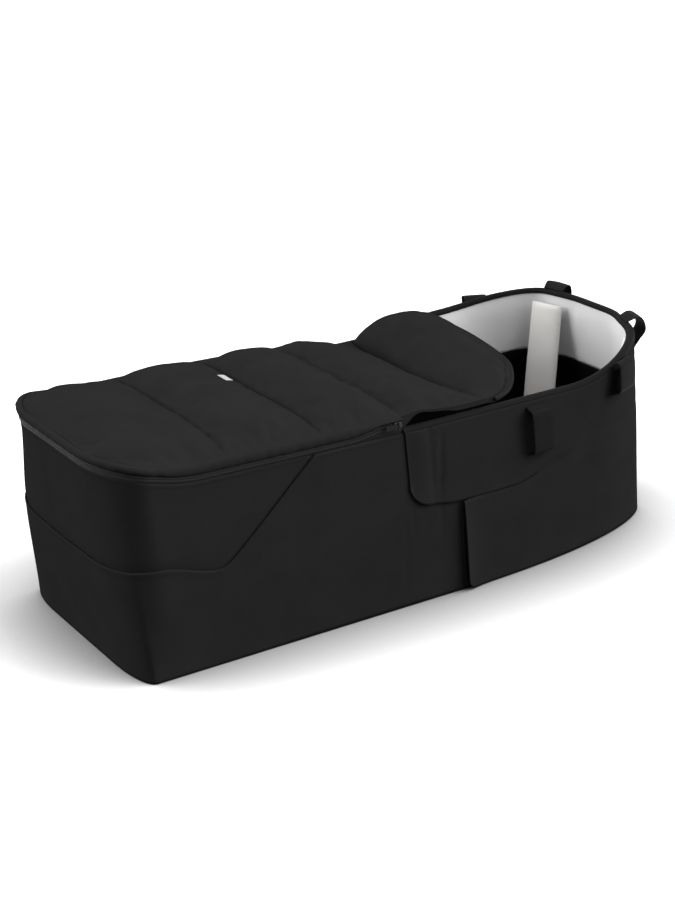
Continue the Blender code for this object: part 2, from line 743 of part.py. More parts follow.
def cylinder(name, radius, length, segments, centre, material, group=PARTS):
    """A cylinder along Z about a centre."""
    shape = bmesh.new()
    bmesh.ops.create_cone(shape, cap_ends=True, segments=segments, radius1=radius, radius2=radius,
                          depth=length)
    bmesh.ops.translate(shape, vec=centre, verts=shape.verts)
    return finish_mesh(name, shape, material, group)


def box(name, size, centre, material, group=PARTS):
    """A box of a size about a centre."""
    shape = bmesh.new()
    bmesh.ops.create_cube(shape, size=1.0)
    bmesh.ops.scale(shape, vec=size, verts=shape.verts)
    bmesh.ops.translate(shape, vec=centre, verts=shape.verts)
    return finish_mesh(name, shape, material, group)


def combine(target, tool, operation):
    """Join a tool to a part or cut it out, and keep the tool as a hidden guide."""
    tool.hide_render = True
    tool.display_type = "WIRE"
    tool.location = target.location
    modifier = target.modifiers.new(tool.name, "BOOLEAN")
    modifier.operation = operation
    modifier.object = tool


# Slider sizes, outwards from the chain's outer face
PLATE_OUTER = SLIDER_CLEARANCE + SLIDER_PLATE
PIVOT_OUT = PLATE_OUTER + SLIDER_CLEARANCE + EYE_RADIUS
LUG_HEIGHT = 0.5 * EYE_LENGTH + TOUCH_GAP + 0.5 * LUG_THICK


def build_slider(side, word):
    """A slider that straddles the chain, with two lugs and a pin between them."""
    half_chain = 0.5 * (CHAIN_TOP - CHAIN_LOW)
    mouth = half_chain + SLIDER_CLEARANCE
    edge = mouth + SLIDER_LIP
    lip = TOUCH_GAP - CHAIN_PROUD
    outline = [(PLATE_OUTER, SLIDER_PLATE - edge), (SLIDER_CLEARANCE, -edge), (lip, -edge), (lip, -mouth),
               (SLIDER_CLEARANCE, -mouth), (SLIDER_CLEARANCE, mouth), (lip, mouth), (lip, edge),
               (SLIDER_CLEARANCE, edge), (PLATE_OUTER, edge - SLIDER_PLATE)]
    outline = [(side * out, height) for out, height in outline]
    slider = prism(word + "_slider", outline, 0.5 * SLIDER_LENGTH, "zip_metal")
    slider.location = slider_place(side)
    lug_from = mix(SLIDER_CLEARANCE, PLATE_OUTER, LUG_ROOT_SHARE)
    lug_to = PIVOT_OUT + EYE_RADIUS
    for lug, sign in (("_lower_lug", -1.0), ("_upper_lug", 1.0)):
        size = (LUG_LONG, lug_to - lug_from, LUG_THICK)
        centre = (0.0, side * 0.5 * (lug_from + lug_to), sign * LUG_HEIGHT)
        combine(slider, box(word + lug, size, centre, "zip_metal", CUTTERS), "UNION")
    pin = cylinder(word + "_pin", PIN_RADIUS, 2.0 * LUG_HEIGHT, 12, (0.0, side * PIVOT_OUT, 0.0),
                   "zip_metal", CUTTERS)
    combine(slider, pin, "UNION")


def build_puller(side, word):
    """A flat tab with an eye that turns on the slider's pin, its origin on the pin."""
    overrun = LUG_THICK
    middle = (-0.5 * (PULLER_LENGTH + EYE_BORE), 0.0, 0.0)
    puller = box(word + "_puller", (PULLER_LENGTH - EYE_BORE, PULLER_THICK, PULLER_WIDTH), middle, "puller")
    puller.location = slider_place(side) + Vector((0.0, side * PIVOT_OUT, 0.0))
    bevel = puller.modifiers.new("bevel", "BEVEL")
    bevel.width = PULLER_BEVEL
    bevel.segments = 1
    neck = PULLER_WIDTH - EYE_LENGTH
    notch_size = (2.0 * EYE_RADIUS + neck, PULLER_WIDTH, neck)
    for notch, sign in (("_lower_notch", -1.0), ("_upper_notch", 1.0)):
        centre = (0.0, 0.0, sign * 0.5 * (EYE_LENGTH + neck))
        combine(puller, box(word + notch, notch_size, centre, "puller", CUTTERS), "DIFFERENCE")
    eye = cylinder(word + "_eye", EYE_RADIUS, EYE_LENGTH, 14, (0.0, 0.0, 0.0), "puller", CUTTERS)
    combine(puller, eye, "UNION")
    bore = cylinder(word + "_bore", EYE_BORE, EYE_LENGTH + overrun, 12, (0.0, 0.0, 0.0), "puller", CUTTERS)
    combine(puller, bore, "DIFFERENCE")


# Foot cover

COVER_ENDS = (RIM.foot + COVER_INSET, COVER_HINGE_X, MIDDLE_SEAM_X, FRONT_SEAM_X, FOLD_X)


def cover_edge_rise(x):
    """Height of the cover's edge over the rim: carried by the piping, and lying lower past the zip."""
    lowered = smoothstep((x - COVER_LOWERS_X) / (FOLD_X - COVER_LOWERS_X))
    return mix(PIPING_HEIGHT, FOLD_OVER_RIM, lowered)


def cover_top(x, across):
    """Top of the cover: crowned across, and puffed up between its sewn channels."""
    channel = max(i for i, start in enumerate(COVER_ENDS[:-1]) if x >= start - HINGE_GAP)
    share = (x - COVER_ENDS[channel]) / (COVER_ENDS[channel + 1] - COVER_ENDS[channel])
    puff = COVER_PUFFS[channel] * math.sin(math.pi * min(max(share, 0.0), 1.0)) ** 0.7
    ramp = smoothstep((x - COVER_ENDS[0]) / COVER_FOOT_RAMP)
    crown = mix(COVER_FOOT_CROWN, COVER_CROWN, smoothstep((x - COVER_HINGE_X) / COVER_CROWN_REACH)) * ramp
    crown = mix(crown, -COVER_FOLD_SAG, smoothstep((x - FRONT_SEAM_X) / (FOLD_X - FRONT_SEAM_X)))
    edge = rim_height(x) + cover_edge_rise(x)
    return edge + crown * (1.0 - abs(across) ** 3) + puff * min(ramp, 1.0) * (1.0 - across ** 6)


def cover_thickness(across):
    """Thin at the sewn edges and padded in the middle."""
    return mix(COVER_EDGE_THICK, COVER_THICK, 1.0 - abs(across) ** 4)


def build_cover():
    """The padded cover in two leaves that meet at its hinge seam, and the label on it."""
    across_shares = even_shares(COVER_HALF_COLUMNS)

    def place_at(share):
        edge, normal = RIM.at((share, 1.0))
        inner = edge - normal * COVER_INSET
        return lambda across: Vector((inner.x, across * inner.y))

    def columns(start, stop, steps):
        return [RIM.share_at(mix(start, stop, i / steps)) for i in range(steps)]

    hinge = RIM.share_at(COVER_HINGE_X - HINGE_GAP)
    rear = [share for share in SIDE_SHARES if share < hinge - COLUMN_SPARE_SHARE] + [hinge]
    front = columns(COVER_HINGE_X + HINGE_GAP, MIDDLE_SEAM_X, CHANNEL_COLUMNS)
    front += columns(MIDDLE_SEAM_X, FRONT_SEAM_X, CHANNEL_COLUMNS)
    front += columns(FRONT_SEAM_X, FOLD_X - HINGE_GAP, CHANNEL_COLUMNS)
    front += [RIM.share_at(FOLD_X - HINGE_GAP)]

    def top(spot, across):
        return cover_top(spot.x, across)

    def bottom(spot, across):
        return cover_top(spot.x, across) - cover_thickness(across)

    for name, shares in (("rear_cover", rear), ("front_cover", front)):
        pad(name, [place_at(share) for share in shares], across_shares, top, bottom, "cover_fabric")

    half = RIM_HALF_WIDTH - COVER_INSET

    def label_place(x):
        return lambda share: Vector((x, LABEL_Y + 0.5 * LABEL_WIDE * share))

    def label_bottom(spot, share):
        step = (MIDDLE_SEAM_X - COVER_HINGE_X) / CHANNEL_COLUMNS
        column = COVER_HINGE_X + step * math.floor((spot.x - COVER_HINGE_X) / step)
        low, high = cover_top(column, spot.y / half), cover_top(column + step, spot.y / half)
        return mix(low, high, (spot.x - column) / step) + TOUCH_GAP

    label_xs = [LABEL_X + 0.5 * LABEL_LONG * share for share in (-1.0, 0.0, 1.0)]
    pad("label", [label_place(x) for x in label_xs], (-1.0, 0.0, 1.0),
        lambda spot, share: label_bottom(spot, share) + LABEL_THICK, label_bottom, "label")


FOLD_HEIGHT = rim_height(FOLD_X) + FOLD_OVER_RIM
FLAP_HALF_WIDTH = RIM_HALF_WIDTH - FLAP_SIDE_INSET


def flap_edge(across):
    """How far the wind flap reaches from the fold at a share across."""
    return FLAP_REACH * (1.0 - abs(across) ** 2.2) ** 0.5


def flap_top(depth_share, across):
    """Top of the wind flap: it curls up beyond the fold, most on the far side."""
    curl = smoothstep((across + 0.6) / 1.35) ** 1.4 * (1.0 - abs(across) ** 8)
    dome = math.sin(math.pi * min(depth_share, 1.0)) * (1.0 - across ** 2)
    rise = math.sin(0.5 * math.pi * min(depth_share, 1.0)) ** 0.9
    sag = COVER_FOLD_SAG * (1.0 - abs(across) ** 3) * (1.0 - rise)
    return FOLD_HEIGHT + FLAP_CURL * curl * rise + FLAP_DOME * dome - sag


def build_flap():
    """The wind flap beyond the fold, and the cord bound into its edge."""
    across_shares = [FLAP_WIDE_SHARE * share for share in even_shares(FLAP_HALF_COLUMNS)]
    depth_shares = [i / FLAP_ROWS for i in range(FLAP_ROWS + 1)]
    start = FOLD_X + HINGE_GAP

    def place_at(depth_share):
        return lambda across: Vector((start + flap_edge(across) * depth_share, across * FLAP_HALF_WIDTH))

    def share_of(spot, across):
        return (spot.x - start) / flap_edge(across)

    def top(spot, across):
        return flap_top(share_of(spot, across), across)

    pad("wind_flap", [place_at(share) for share in depth_shares], across_shares, top,
        lambda spot, across: top(spot, across) - FLAP_THICK, "cover_fabric")
    line = []
    offset = FLAP_BINDING_RADIUS + TOUCH_GAP
    for across in across_shares:
        before = max(across - FLAP_STEP_SHARE, -1.0)
        after = min(across + FLAP_STEP_SHARE, 1.0)
        sideways = (after - before) * FLAP_HALF_WIDTH
        outward = Vector((sideways, flap_edge(before) - flap_edge(after))).normalized()
        x = start + flap_edge(across) + outward.x * offset
        y = across * FLAP_HALF_WIDTH + outward.y * offset
        line.append(Vector((x, y, flap_top(1.0, across) - 0.5 * FLAP_THICK)))
    cord("flap_binding", line, FLAP_BINDING_RADIUS, False, "edge_trim")


# Corner stays

UP = Vector((0.0, 0.0, 1.0))


def corner_share(from_side):
    """Share of the length at which the rim's head corner lies this far in from the side."""
    wide = (RIM_HEAD_CORNER_WIDE - from_side) / RIM_HEAD_CORNER_WIDE
    x = RIM.head - RIM_HEAD_CORNER_LONG * (1.0 - math.sqrt(1.0 - wide * wide))
    return RIM.share_at(x)


def build_stay(side, word, from_side, hinge_height):
    """A padded stay that leans into the head corner, its origin on its hinge, over a fixed post."""
    station = (corner_share(from_side), side)
    top_height = rim_at(station) - STAY_TOP_BELOW_RIM
    depth = INNER_LEG_DEPTH + SKIN + TOUCH_GAP + STAY_BOW + 0.5 * STAY_THICK
    top = wall_point(station, top_height, depth)
    outward = Vector((*RIM.at(station)[1], 0.0)).normalized()
    foot = top - outward * STAY_LEAN
    foot.z = hinge_height
    rise = top - foot
    turn = UP.rotation_difference(rise)
    heading = math.atan2(outward.y, outward.x)
    stay = box(word + "_stay", (STAY_THICK, STAY_WIDTH, rise.length - STAY_HINGE_GAP),
               (0.0, 0.0, 0.5 * (rise.length + STAY_HINGE_GAP)), "stay_fabric")
    stay.rotation_mode = "QUATERNION"
    stay.rotation_quaternion = turn @ Quaternion(UP, heading)
    stay.location = foot
    post_height = hinge_height - INNER_FOOT
    post = box(word + "_stay_post", (STAY_THICK, STAY_WIDTH, post_height), (0.0, 0.0, -0.5 * post_height),
               "stay_fabric")
    post.rotation_mode = "QUATERNION"
    post.rotation_quaternion = Quaternion(UP, heading)
    post.location = foot
    for piece in (stay, post):
        bevel = piece.modifiers.new("bevel", "BEVEL")
        bevel.width = STAY_BEVEL
        bevel.segments = 2
        bevel.limit_method = "ANGLE"


# Webbing loops

def strap_outline(path):
    """Closed outline of a strap: a path of (height, way out), thickened to both sides."""
    left = []
    right = []
    for i, (height, out) in enumerate(path):
        before = path[max(i - 1, 0)]
        after = path[min(i + 1, len(path) - 1)]
        along = Vector((after[0] - before[0], after[1] - before[1])).normalized()
        across = Vector((-along.y, along.x)) * 0.5 * WEBBING
        left.append((height + across.x, -(out + across.y)))
        right.append((height - across.x, -(out - across.y)))
    return left + list(reversed(right))


def webbing_loop(name, x, side, path):
    """A webbing strap over its width, at a place along the wall, with heights over the rim."""
    centre = RIM.share_at(x)
    half = 0.5 * WEBBING_WIDTH / (2.0 * RIM_HALF_LENGTH)
    if x > RIM.head - RIM_HEAD_CORNER_LONG:
        _, _, normal = RIM.side(centre)
        half *= max(abs(normal.y), NARROWEST_STRAP_SHARE)
    stations = [(centre + half * share, side) for share in (-1.0, 0.0, 1.0)]
    outline = strap_outline(path)

    def section(station):
        rim = rim_at((centre, side))
        return [(rim + height, depth) for height, depth in outline]

    loft(name, stations, section, False, "webbing")


def build_loops():
    """Three pairs of webbing loops: on the sides, by the head and over the head corners."""
    seat = -OVERLAY_DEPTH + TOUCH_GAP + 0.5 * WEBBING
    out = seat + LOOP_STAND_OFF
    top = -SIDE_LOOP_BELOW_RIM
    bottom = top - SIDE_LOOP_DROP
    round_end = 0.5 * LOOP_STAND_OFF
    side_path = [(top, seat), (top - 0.4 * SEWN_END, seat + 0.6 * round_end), (top - SEWN_END, out),
                 (mix(top, bottom, 0.5), out + 0.2 * round_end), (bottom + SEWN_END, out),
                 (bottom + 0.4 * SEWN_END, seat + 0.6 * round_end), (bottom, seat)]
    turn_height = HEAD_LOOP_TOP - round_end
    head_bottom = HEAD_LOOP_TOP - HEAD_LOOP_DROP
    turns = [math.pi * i / 4 for i in range(5)]
    head_path = [(-BINDING_DEPTH, seat)]
    head_path += [(turn_height + round_end * math.sin(turn), seat + round_end * (1.0 - math.cos(turn)))
                  for turn in turns]
    head_path += [(mix(turn_height, head_bottom, 0.5), out + 0.2 * round_end), (head_bottom + SEWN_END, out),
                  (head_bottom + 0.4 * SEWN_END, seat + 0.6 * round_end), (head_bottom, seat)]
    rest = TOUCH_GAP + 0.5 * WEBBING
    corner_path = [(rest, -0.5 * INNER_LEG_DEPTH), (rest + 0.5 * CORNER_LOOP_RISE, rest),
                   (CORNER_LOOP_RISE, 0.5 * out), (0.6 * CORNER_LOOP_RISE, out),
                   (-0.3 * CORNER_LOOP_DROP, out + 0.4 * round_end),
                   (-0.7 * CORNER_LOOP_DROP, seat + round_end),
                   (-CORNER_LOOP_DROP, seat), (-CORNER_LOOP_DROP - SEWN_END, seat)]
    for side, word in ((-1, "near"), (1, "far")):
        webbing_loop(word + "_side_loop", SIDE_LOOP_X, side, side_path)
        webbing_loop(word + "_head_loop", HEAD_LOOP_X, side, head_path)
        webbing_loop(word + "_corner_loop", CORNER_LOOP_X, side, corner_path)


def build_all():
    """Build every sub-part."""
    build_base()
    build_outer_skin()
    build_boards()
    build_linings()
    build_rim()
    build_zip()
    build_cover()
    build_flap()
    for side, word in ((-1, "near"), (1, "far")):
        build_slider(side, word)
        build_puller(side, word)
    build_stay(-1, "near", NEAR_STAY_FROM_SIDE, STAY_NEAR_HINGE_HEIGHT)
    build_stay(1, "far", FAR_STAY_FROM_SIDE, STAY_FAR_HINGE_HEIGHT)
    build_loops()


def centre_along_length():
    """Move everything along X so that the whole object is centred on the origin."""
    places = [thing.matrix_basis @ vert.co for thing in PARTS.objects if thing.type == "MESH"
              for vert in thing.data.vertices]
    middle = 0.5 * (min(place.x for place in places) + max(place.x for place in places))
    for thing in list(PARTS.objects) + list(CUTTERS.objects):
        thing.location.x -= middle


build_all()
centre_along_length()
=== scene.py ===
"""Looks of the soft carrycot: sewn fabric, zip, webbing, padding, light and camera over the fixed frame.

Every soft piece follows one parametric shell: a station gives the place round the cot, a height and a
depth give the place in the wall, and relief functions add the folds, puckers and quilting.
"""
import json
import math

import bmesh
import bpy
import numpy as np
from mathutils import Matrix, Vector


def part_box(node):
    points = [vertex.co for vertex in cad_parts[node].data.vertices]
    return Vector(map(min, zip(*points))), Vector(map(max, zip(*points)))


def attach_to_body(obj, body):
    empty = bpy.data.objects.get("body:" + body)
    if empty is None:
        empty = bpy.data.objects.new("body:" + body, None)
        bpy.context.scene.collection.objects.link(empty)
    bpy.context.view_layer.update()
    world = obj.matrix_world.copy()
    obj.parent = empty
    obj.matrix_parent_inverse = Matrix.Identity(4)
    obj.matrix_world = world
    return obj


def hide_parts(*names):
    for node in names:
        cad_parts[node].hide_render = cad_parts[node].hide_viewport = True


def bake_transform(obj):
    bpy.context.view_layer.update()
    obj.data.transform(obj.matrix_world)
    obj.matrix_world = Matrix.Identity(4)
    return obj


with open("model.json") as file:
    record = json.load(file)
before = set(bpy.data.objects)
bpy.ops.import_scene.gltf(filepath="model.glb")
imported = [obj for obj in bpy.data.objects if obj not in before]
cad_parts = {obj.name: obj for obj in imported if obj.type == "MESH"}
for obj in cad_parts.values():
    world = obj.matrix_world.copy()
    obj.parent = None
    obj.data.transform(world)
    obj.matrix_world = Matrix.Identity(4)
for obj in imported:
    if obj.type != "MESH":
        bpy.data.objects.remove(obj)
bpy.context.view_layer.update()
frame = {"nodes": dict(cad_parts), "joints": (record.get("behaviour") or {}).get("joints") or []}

# Rim and base outlines: foot, head, half width, foot corner and head corner (long, wide)
RIM = (-0.425, 0.425, 0.170, (0.051, 0.098), (0.143, 0.140))
BASE = (-0.403, 0.437, 0.1685, (0.020, 0.078), (0.350, 0.100))
RIM_HEIGHT = 0.248
RIM_SIDE_RISE = 0.0094
RIM_FOOT_RISE, RIM_FOOT_REACH = 0.014, 0.120
RIM_HEAD_RISE, RIM_HEAD_REACH = 0.038, 0.225
BELLY = 0.003

# How the soft rim departs from that outline
NEAR_HEAD_REACH = 0.182
FAR_LIFT, FAR_LIFT_PLACE = 0.012, (0.235, 0.055)
COVER_LIFT, COVER_LIFT_PLACE = 0.0028, (-0.165, 0.125)
FAR_CORNER_PUSH, NEAR_CORNER_PUSH = 0.0098, -0.006
FAR_FOOT_SAG, FAR_FOOT_SLIP = 0.006, 0.0055

# Layers, as depths inwards from the outer skin
SKIN = 0.0016
STEP = 0.0006
OVERLAY = 0.0018
OVERLAY_DEPTH = -0.0022
LINING_DEPTH = 0.0060
INNER_LEG_DEPTH = 0.0094
FOOT_HEIGHT = 0.0019
BOARD_TOP = 0.0059

# Seams and edges of the outer skin
SEAM_FOOT, SEAM_SIDE, SEAM_REACH = 0.149, 0.127, 0.090
SEAM_TURN_X, SEAM_TOP_X, SEAM_ROUND = -0.293, -0.148, 0.012
SEAM_SAG, SEAM_SAG_HALF = 0.007, 0.150
HEAD_FLAP_X, HEAD_FLAP_CORNER = -0.0205, 0.026
HEAD_WRAP_X, HEAD_WRAP_CORNER = 0.057, 0.014
SPLIT_LOW, SPLIT_FRONT, SPLIT_RISE = 0.1320, 0.0090, 0.030
SPLIT_RISE_X, SPLIT_RISE_REACH = 0.140, 0.140
MERGE_HEIGHT, MERGE_DEPTH = 0.030, 0.0009
BINDING_DEPTH = 0.012
RIM_BAND, RIM_BAND_INNER, RIM_THICK = 0.0068, 0.0062, 0.0082
LINING_DROP, LINING_HEAD_DROP, LINING_SEAMS = 0.090, 0.0075, (0.028, 0.034)
LINING_HANG = 0.85

# Folds of the near wall by the head: place, height, turn, half length, half width, depth
HEAD_FOLDS = ((0.0330, 0.188, 1.52, 0.042, 0.0030, -0.0019), (0.0340, 0.118, 1.62, 0.022, 0.0030, -0.0012),
              (-0.0090, 0.122, 1.55, 0.016, 0.0030, -0.0010), (0.2050, 0.143, 0.28, 0.042, 0.0050, -0.0016),
              (0.2900, 0.186, 0.88, 0.052, 0.0120, -0.0034), (0.2600, 0.176, 0.80, 0.050, 0.0140, 0.0016),
              (0.3200, 0.165, 0.90, 0.050, 0.0160, 0.0014))
SIDE_SEAM_DIP = -0.0007

FOOT_JOINT_X, HEAD_JOINT_X = -0.300, 0.175
BOARD_CLEAR, BOARD_BELOW_RIM, HOOP_BELOW_RIM = 0.0004, 0.0105, 0.0046

# Spacing of the columns of points, and numbers of rows
FINE, COARSE, PIPING_SPACING, SHADE_SHEET_SPACING = 0.004, 0.006, 0.003, 0.002
SKIN_ROWS, FOOT_ROWS, HEAD_FLAP_ROWS, HEAD_WRAP_ROWS = 56, 36, 34, 40
SHADE_SHEET_ROWS, LINING_ROWS, BOARD_ROWS = 30, 24, 14

# Zip and cover edge, as heights over the rim at the zip's ends; elsewhere the zip hangs a little lower
ZIP_END_X, ZIP_END_GAP = -0.022, 0.0004
CHAIN = (0.0024, 0.0064, 0.0069, 0.0107)
ZIP_DROP, ZIP_DROP_FOOT, LOWER_DROP = -0.0082, -0.0040, 0.87
TAPE_DEPTH, TAPE = 0.0004, 0.0008
PIPING_HEIGHT = 0.0138

# Cover and wind flap
HINGE_X = -0.269
SEAM_XS = (HINGE_X, -0.137, -0.021)
SEAM_DEPTHS, SEAM_NEAR_SHARES = (0.0012, 0.0021, 0.0038), (0.35, 0.35, 1.0)
FOLD_X = 0.110
FOLD_OVER_RIM = 0.0055
HINGE_GAP = 0.00015
COVER_INSET = 0.0060
COVER_HALF = RIM[2] - COVER_INSET
FLAP_REACH, FLAP_HALF = 0.108, 0.157
NEAR_CURL, FAR_CURL = 0.0135, 0.0207

# The frame is centred on the whole object, which the rim's own outline isn't
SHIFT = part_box("front_cover")[1].x - (FOLD_X - HINGE_GAP)


SIDES = ((-1, "near"), (1, "far"))


# Numbers

def smoothstep(value):
    """Ease from 0 to 1."""
    value = np.clip(value, 0.0, 1.0)
    return value * value * (3.0 - 2.0 * value)


def mix(a, b, share):
    """Go from a to b."""
    return a + (b - a) * share


def bell(value, centre, width):
    """A smooth hump of height 1."""
    return np.exp(-((value - centre) / width) ** 2)


def ripple(u, v, seed, octaves=4, base=1.0):
    """Soft irregular waves between about -1 and 1, the same on every run."""
    rng = np.random.default_rng(seed)
    total = np.zeros(np.broadcast(u, v).shape)
    size = 0.0
    for octave in range(octaves):
        amount = 0.62 ** octave
        size += amount * amount
        for _ in range(3):
            angle, phase = rng.uniform(0.0, 2.0 * math.pi, 2)
            rate = base * (1.75 ** octave) * rng.uniform(0.8, 1.25)
            total += amount * np.sin(rate * (u * math.cos(angle) + v * math.sin(angle)) + phase)
    return total / math.sqrt(3.0 * size) / 1.5


# Shell

def outline(shape, share):
    """x, half width and outward normal of the far side of an outline at shares of its length."""
    foot, head, half, foot_corner, head_corner = shape
    x = mix(foot, head, share)
    wide = np.full_like(x, half)
    normal_x, normal_y = np.zeros_like(x), np.ones_like(x)
    for end, (long, broad), sign in ((foot, foot_corner, -1.0), (head, head_corner, 1.0)):
        reach = 1.0 - np.abs(x - end) / long
        inside = reach > 0.0
        rise = np.sqrt(np.clip(1.0 - reach * reach, 0.0, 1.0))
        wide = np.where(inside, half - broad + broad * rise, wide)
        along, across = sign * reach / long, rise / broad
        size = np.hypot(along, across)
        normal_x = np.where(inside, along / size, normal_x)
        normal_y = np.where(inside, across / size, normal_y)
    return x, wide, normal_x, normal_y


def place(shape, share, across):
    """Points and outward normals in plan of stations."""
    x, wide, normal_x, normal_y = outline(shape, share)
    on_end = np.abs(across) < 1.0
    normal = np.stack([np.where(on_end, np.sign(normal_x), normal_x),
                       np.where(on_end, 0.0, normal_y * np.sign(across))], -1)
    return np.stack([x, across * wide], -1), normal


def rim_height(x):
    """Height of the rim."""
    height = RIM_HEIGHT + RIM_SIDE_RISE * np.clip(-x / RIM[1], 0.0, None)
    height = height + RIM_FOOT_RISE * smoothstep((RIM[0] + RIM_FOOT_REACH - x) / RIM_FOOT_REACH)
    return height + RIM_HEAD_RISE * smoothstep((x - RIM[1] + RIM_HEAD_REACH) / RIM_HEAD_REACH)


def rim_x(stations):
    """Place along the rim of stations."""
    return place(RIM, *stations)[0][:, 0]


def rim_of(stations):
    """Height of the rim at stations."""
    return rim_height(rim_x(stations))


def warp(points, rise):
    """How the real, soft cot departs from its plain outline; rise is the height as a share of the rim's."""
    x, y = points[..., 0] - SHIFT, points[..., 1]
    far, near = smoothstep((y - 0.02) / 0.10), smoothstep((-y - 0.02) / 0.10)
    upper = smoothstep((rise - 0.45) / 0.55)
    plain = smoothstep((x - RIM[1] + RIM_HEAD_REACH) / RIM_HEAD_REACH)
    late = smoothstep((x - RIM[1] + NEAR_HEAD_REACH) / NEAR_HEAD_REACH)
    lift = far * FAR_LIFT * bell(x, *FAR_LIFT_PLACE) + near * RIM_HEAD_RISE * (late - plain)
    lift = lift + far * COVER_LIFT * bell(x, *COVER_LIFT_PLACE) * smoothstep((rise - 0.92) / 0.08)
    at_head = smoothstep((x - 0.33) / 0.05) * np.minimum(rise, 1.0) ** 2
    push = at_head * (FAR_CORNER_PUSH * bell(y, 0.106, 0.026) + NEAR_CORNER_PUSH * bell(y, -0.078, 0.030))
    out = np.stack([x - RIM[1] + RIM[4][0], y - np.sign(y) * (RIM[2] - RIM[4][1])], -1)
    out = out / np.maximum(np.linalg.norm(out, axis=-1, keepdims=True), 1e-6)
    foot = smoothstep((-0.33 - x) / 0.08) * smoothstep((y - 0.03) / 0.10) * upper
    moved = np.array(points, float)
    moved[..., 0] += push * out[..., 0] + FAR_FOOT_SLIP * foot
    moved[..., 1] += push * out[..., 1]
    moved[..., 2] += lift * upper - FAR_FOOT_SAG * foot
    return moved


def wall(stations, height, depth):
    """Points of the shell: stations give the columns, height and depth the rows, or one each."""
    share, across = stations
    low, low_normal = place(BASE, share, across)
    high, high_normal = place(RIM, share, across)
    height = np.asarray(height)
    depth = np.asarray(depth) + np.zeros_like(height)
    rise = height / rim_of(stations)[:, None]
    held = np.minimum(rise, 1.0)[..., None]
    normal = mix(low_normal[:, None, :], high_normal[:, None, :], held)
    normal /= np.linalg.norm(normal, axis=-1, keepdims=True)
    belly = BELLY * np.sin(math.pi * held[..., 0]) ** 2
    spot = mix(low[:, None, :], high[:, None, :], rise[..., None]) + normal * (belly - depth)[..., None]
    return warp(np.stack([spot[..., 0] + SHIFT, spot[..., 1], height + np.zeros_like(rise)], -1), rise)


def side_stations(side, start_x, stop_x, spacing=0.005):
    """Stations along one side between two places of the rim."""
    fine = np.linspace(0.0, 1.0, 4001)
    x, wide, _, _ = outline(RIM, fine)
    length = np.concatenate([[0.0], np.cumsum(np.hypot(np.diff(x), np.diff(wide)))])
    ends = np.interp([start_x, stop_x], x, length)
    count = max(2, int(round(abs(ends[1] - ends[0]) / spacing)) + 1)
    share = np.interp(np.linspace(ends[0], ends[1], count), length, fine)
    return share, np.full(count, float(side))


def cap_stations(share, side, spacing=0.006):
    """Stations across an end from one side to the other, both left out."""
    half = outline(RIM, np.array([share]))[1][0]
    count = max(3, int(round(2.0 * half / spacing)))
    across = side * (1.0 - 2.0 * np.arange(1, count) / count)
    return np.full(count - 1, float(share)), across


def joined(*parts):
    """Stations one after another."""
    return np.concatenate([part[0] for part in parts]), np.concatenate([part[1] for part in parts])


def full_loop(spacing=0.005):
    """Stations all round the cot."""
    return joined(side_stations(-1, RIM[0], RIM[1], spacing), cap_stations(1.0, -1, spacing),
                  side_stations(1, RIM[1], RIM[0], spacing), cap_stations(0.0, 1, spacing))


def round_foot(x, spacing=0.005):
    """Stations from the far side, round the foot, to the near side."""
    return joined(side_stations(1, x, RIM[0], spacing), cap_stations(0.0, 1, spacing),
                  side_stations(-1, RIM[0], x, spacing))


def round_head(x, spacing=0.005):
    """Stations from the near side, round the head, to the far side."""
    return joined(side_stations(-1, x, RIM[1], spacing), cap_stations(1.0, -1, spacing),
                  side_stations(1, RIM[1], x, spacing))


def run_of(path):
    """Distance along a path at each of its points."""
    return np.concatenate([[0.0], np.cumsum(np.linalg.norm(np.diff(path, axis=0), axis=1))])


def arc_length(stations):
    """Distance round the rim at each station."""
    return run_of(wall(stations, rim_of(stations)[:, None], 0.0)[:, 0])


# Meshes

SHARP_ANGLE = 50


def mesh_object(name, points, faces, material):
    """A mesh piece from points and faces."""
    mesh = bpy.data.meshes.new(name)
    mesh.from_pydata([tuple(point) for point in points], [], [tuple(face) for face in faces])
    mesh.validate()
    piece = bpy.data.objects.new(name, mesh)
    bpy.context.scene.collection.objects.link(piece)
    mesh.materials.append(material)
    mesh.shade_smooth()
    return piece


def grid_faces(rows, columns, around=False, over=False, start=0):
    """Quads of a grid of points, closed one way or both."""
    i, j = np.meshgrid(np.arange(rows if around else rows - 1), np.arange(columns if over else columns - 1),
                       indexing="ij")
    a = start + i * columns + j
    b = start + ((i + 1) % rows) * columns + j
    c = start + ((i + 1) % rows) * columns + (j + 1) % columns
    d = start + i * columns + (j + 1) % columns
    return np.stack([a, b, c, d], -1).reshape(-1, 4)


def tube_faces(rows, columns, closed=False, start=0):
    """Faces of a section swept along rows of points, with its two ends unless it meets itself."""
    faces = grid_faces(rows, columns, closed, True, start).tolist()
    if not closed:
        faces.append([start + column for column in range(columns)])
        faces.append([start + (rows - 1) * columns + column for column in reversed(range(columns))])
    return faces


def pillow_faces(rows, columns):
    """Faces of a closed form whose lower grid of points follows its upper one."""
    below = rows * columns
    faces = grid_faces(rows, columns).tolist()
    faces += [face[::-1] for face in grid_faces(rows, columns, start=below).tolist()]
    border = [(i, 0) for i in range(rows)] + [(rows - 1, j) for j in range(1, columns)]
    border += [(i, columns - 1) for i in range(rows - 2, -1, -1)]
    border += [(0, j) for j in range(columns - 2, 0, -1)]
    ids = [i * columns + j for i, j in border]
    return faces + [[a, a + below, b + below, b] for a, b in zip(ids, ids[1:] + ids[:1])]


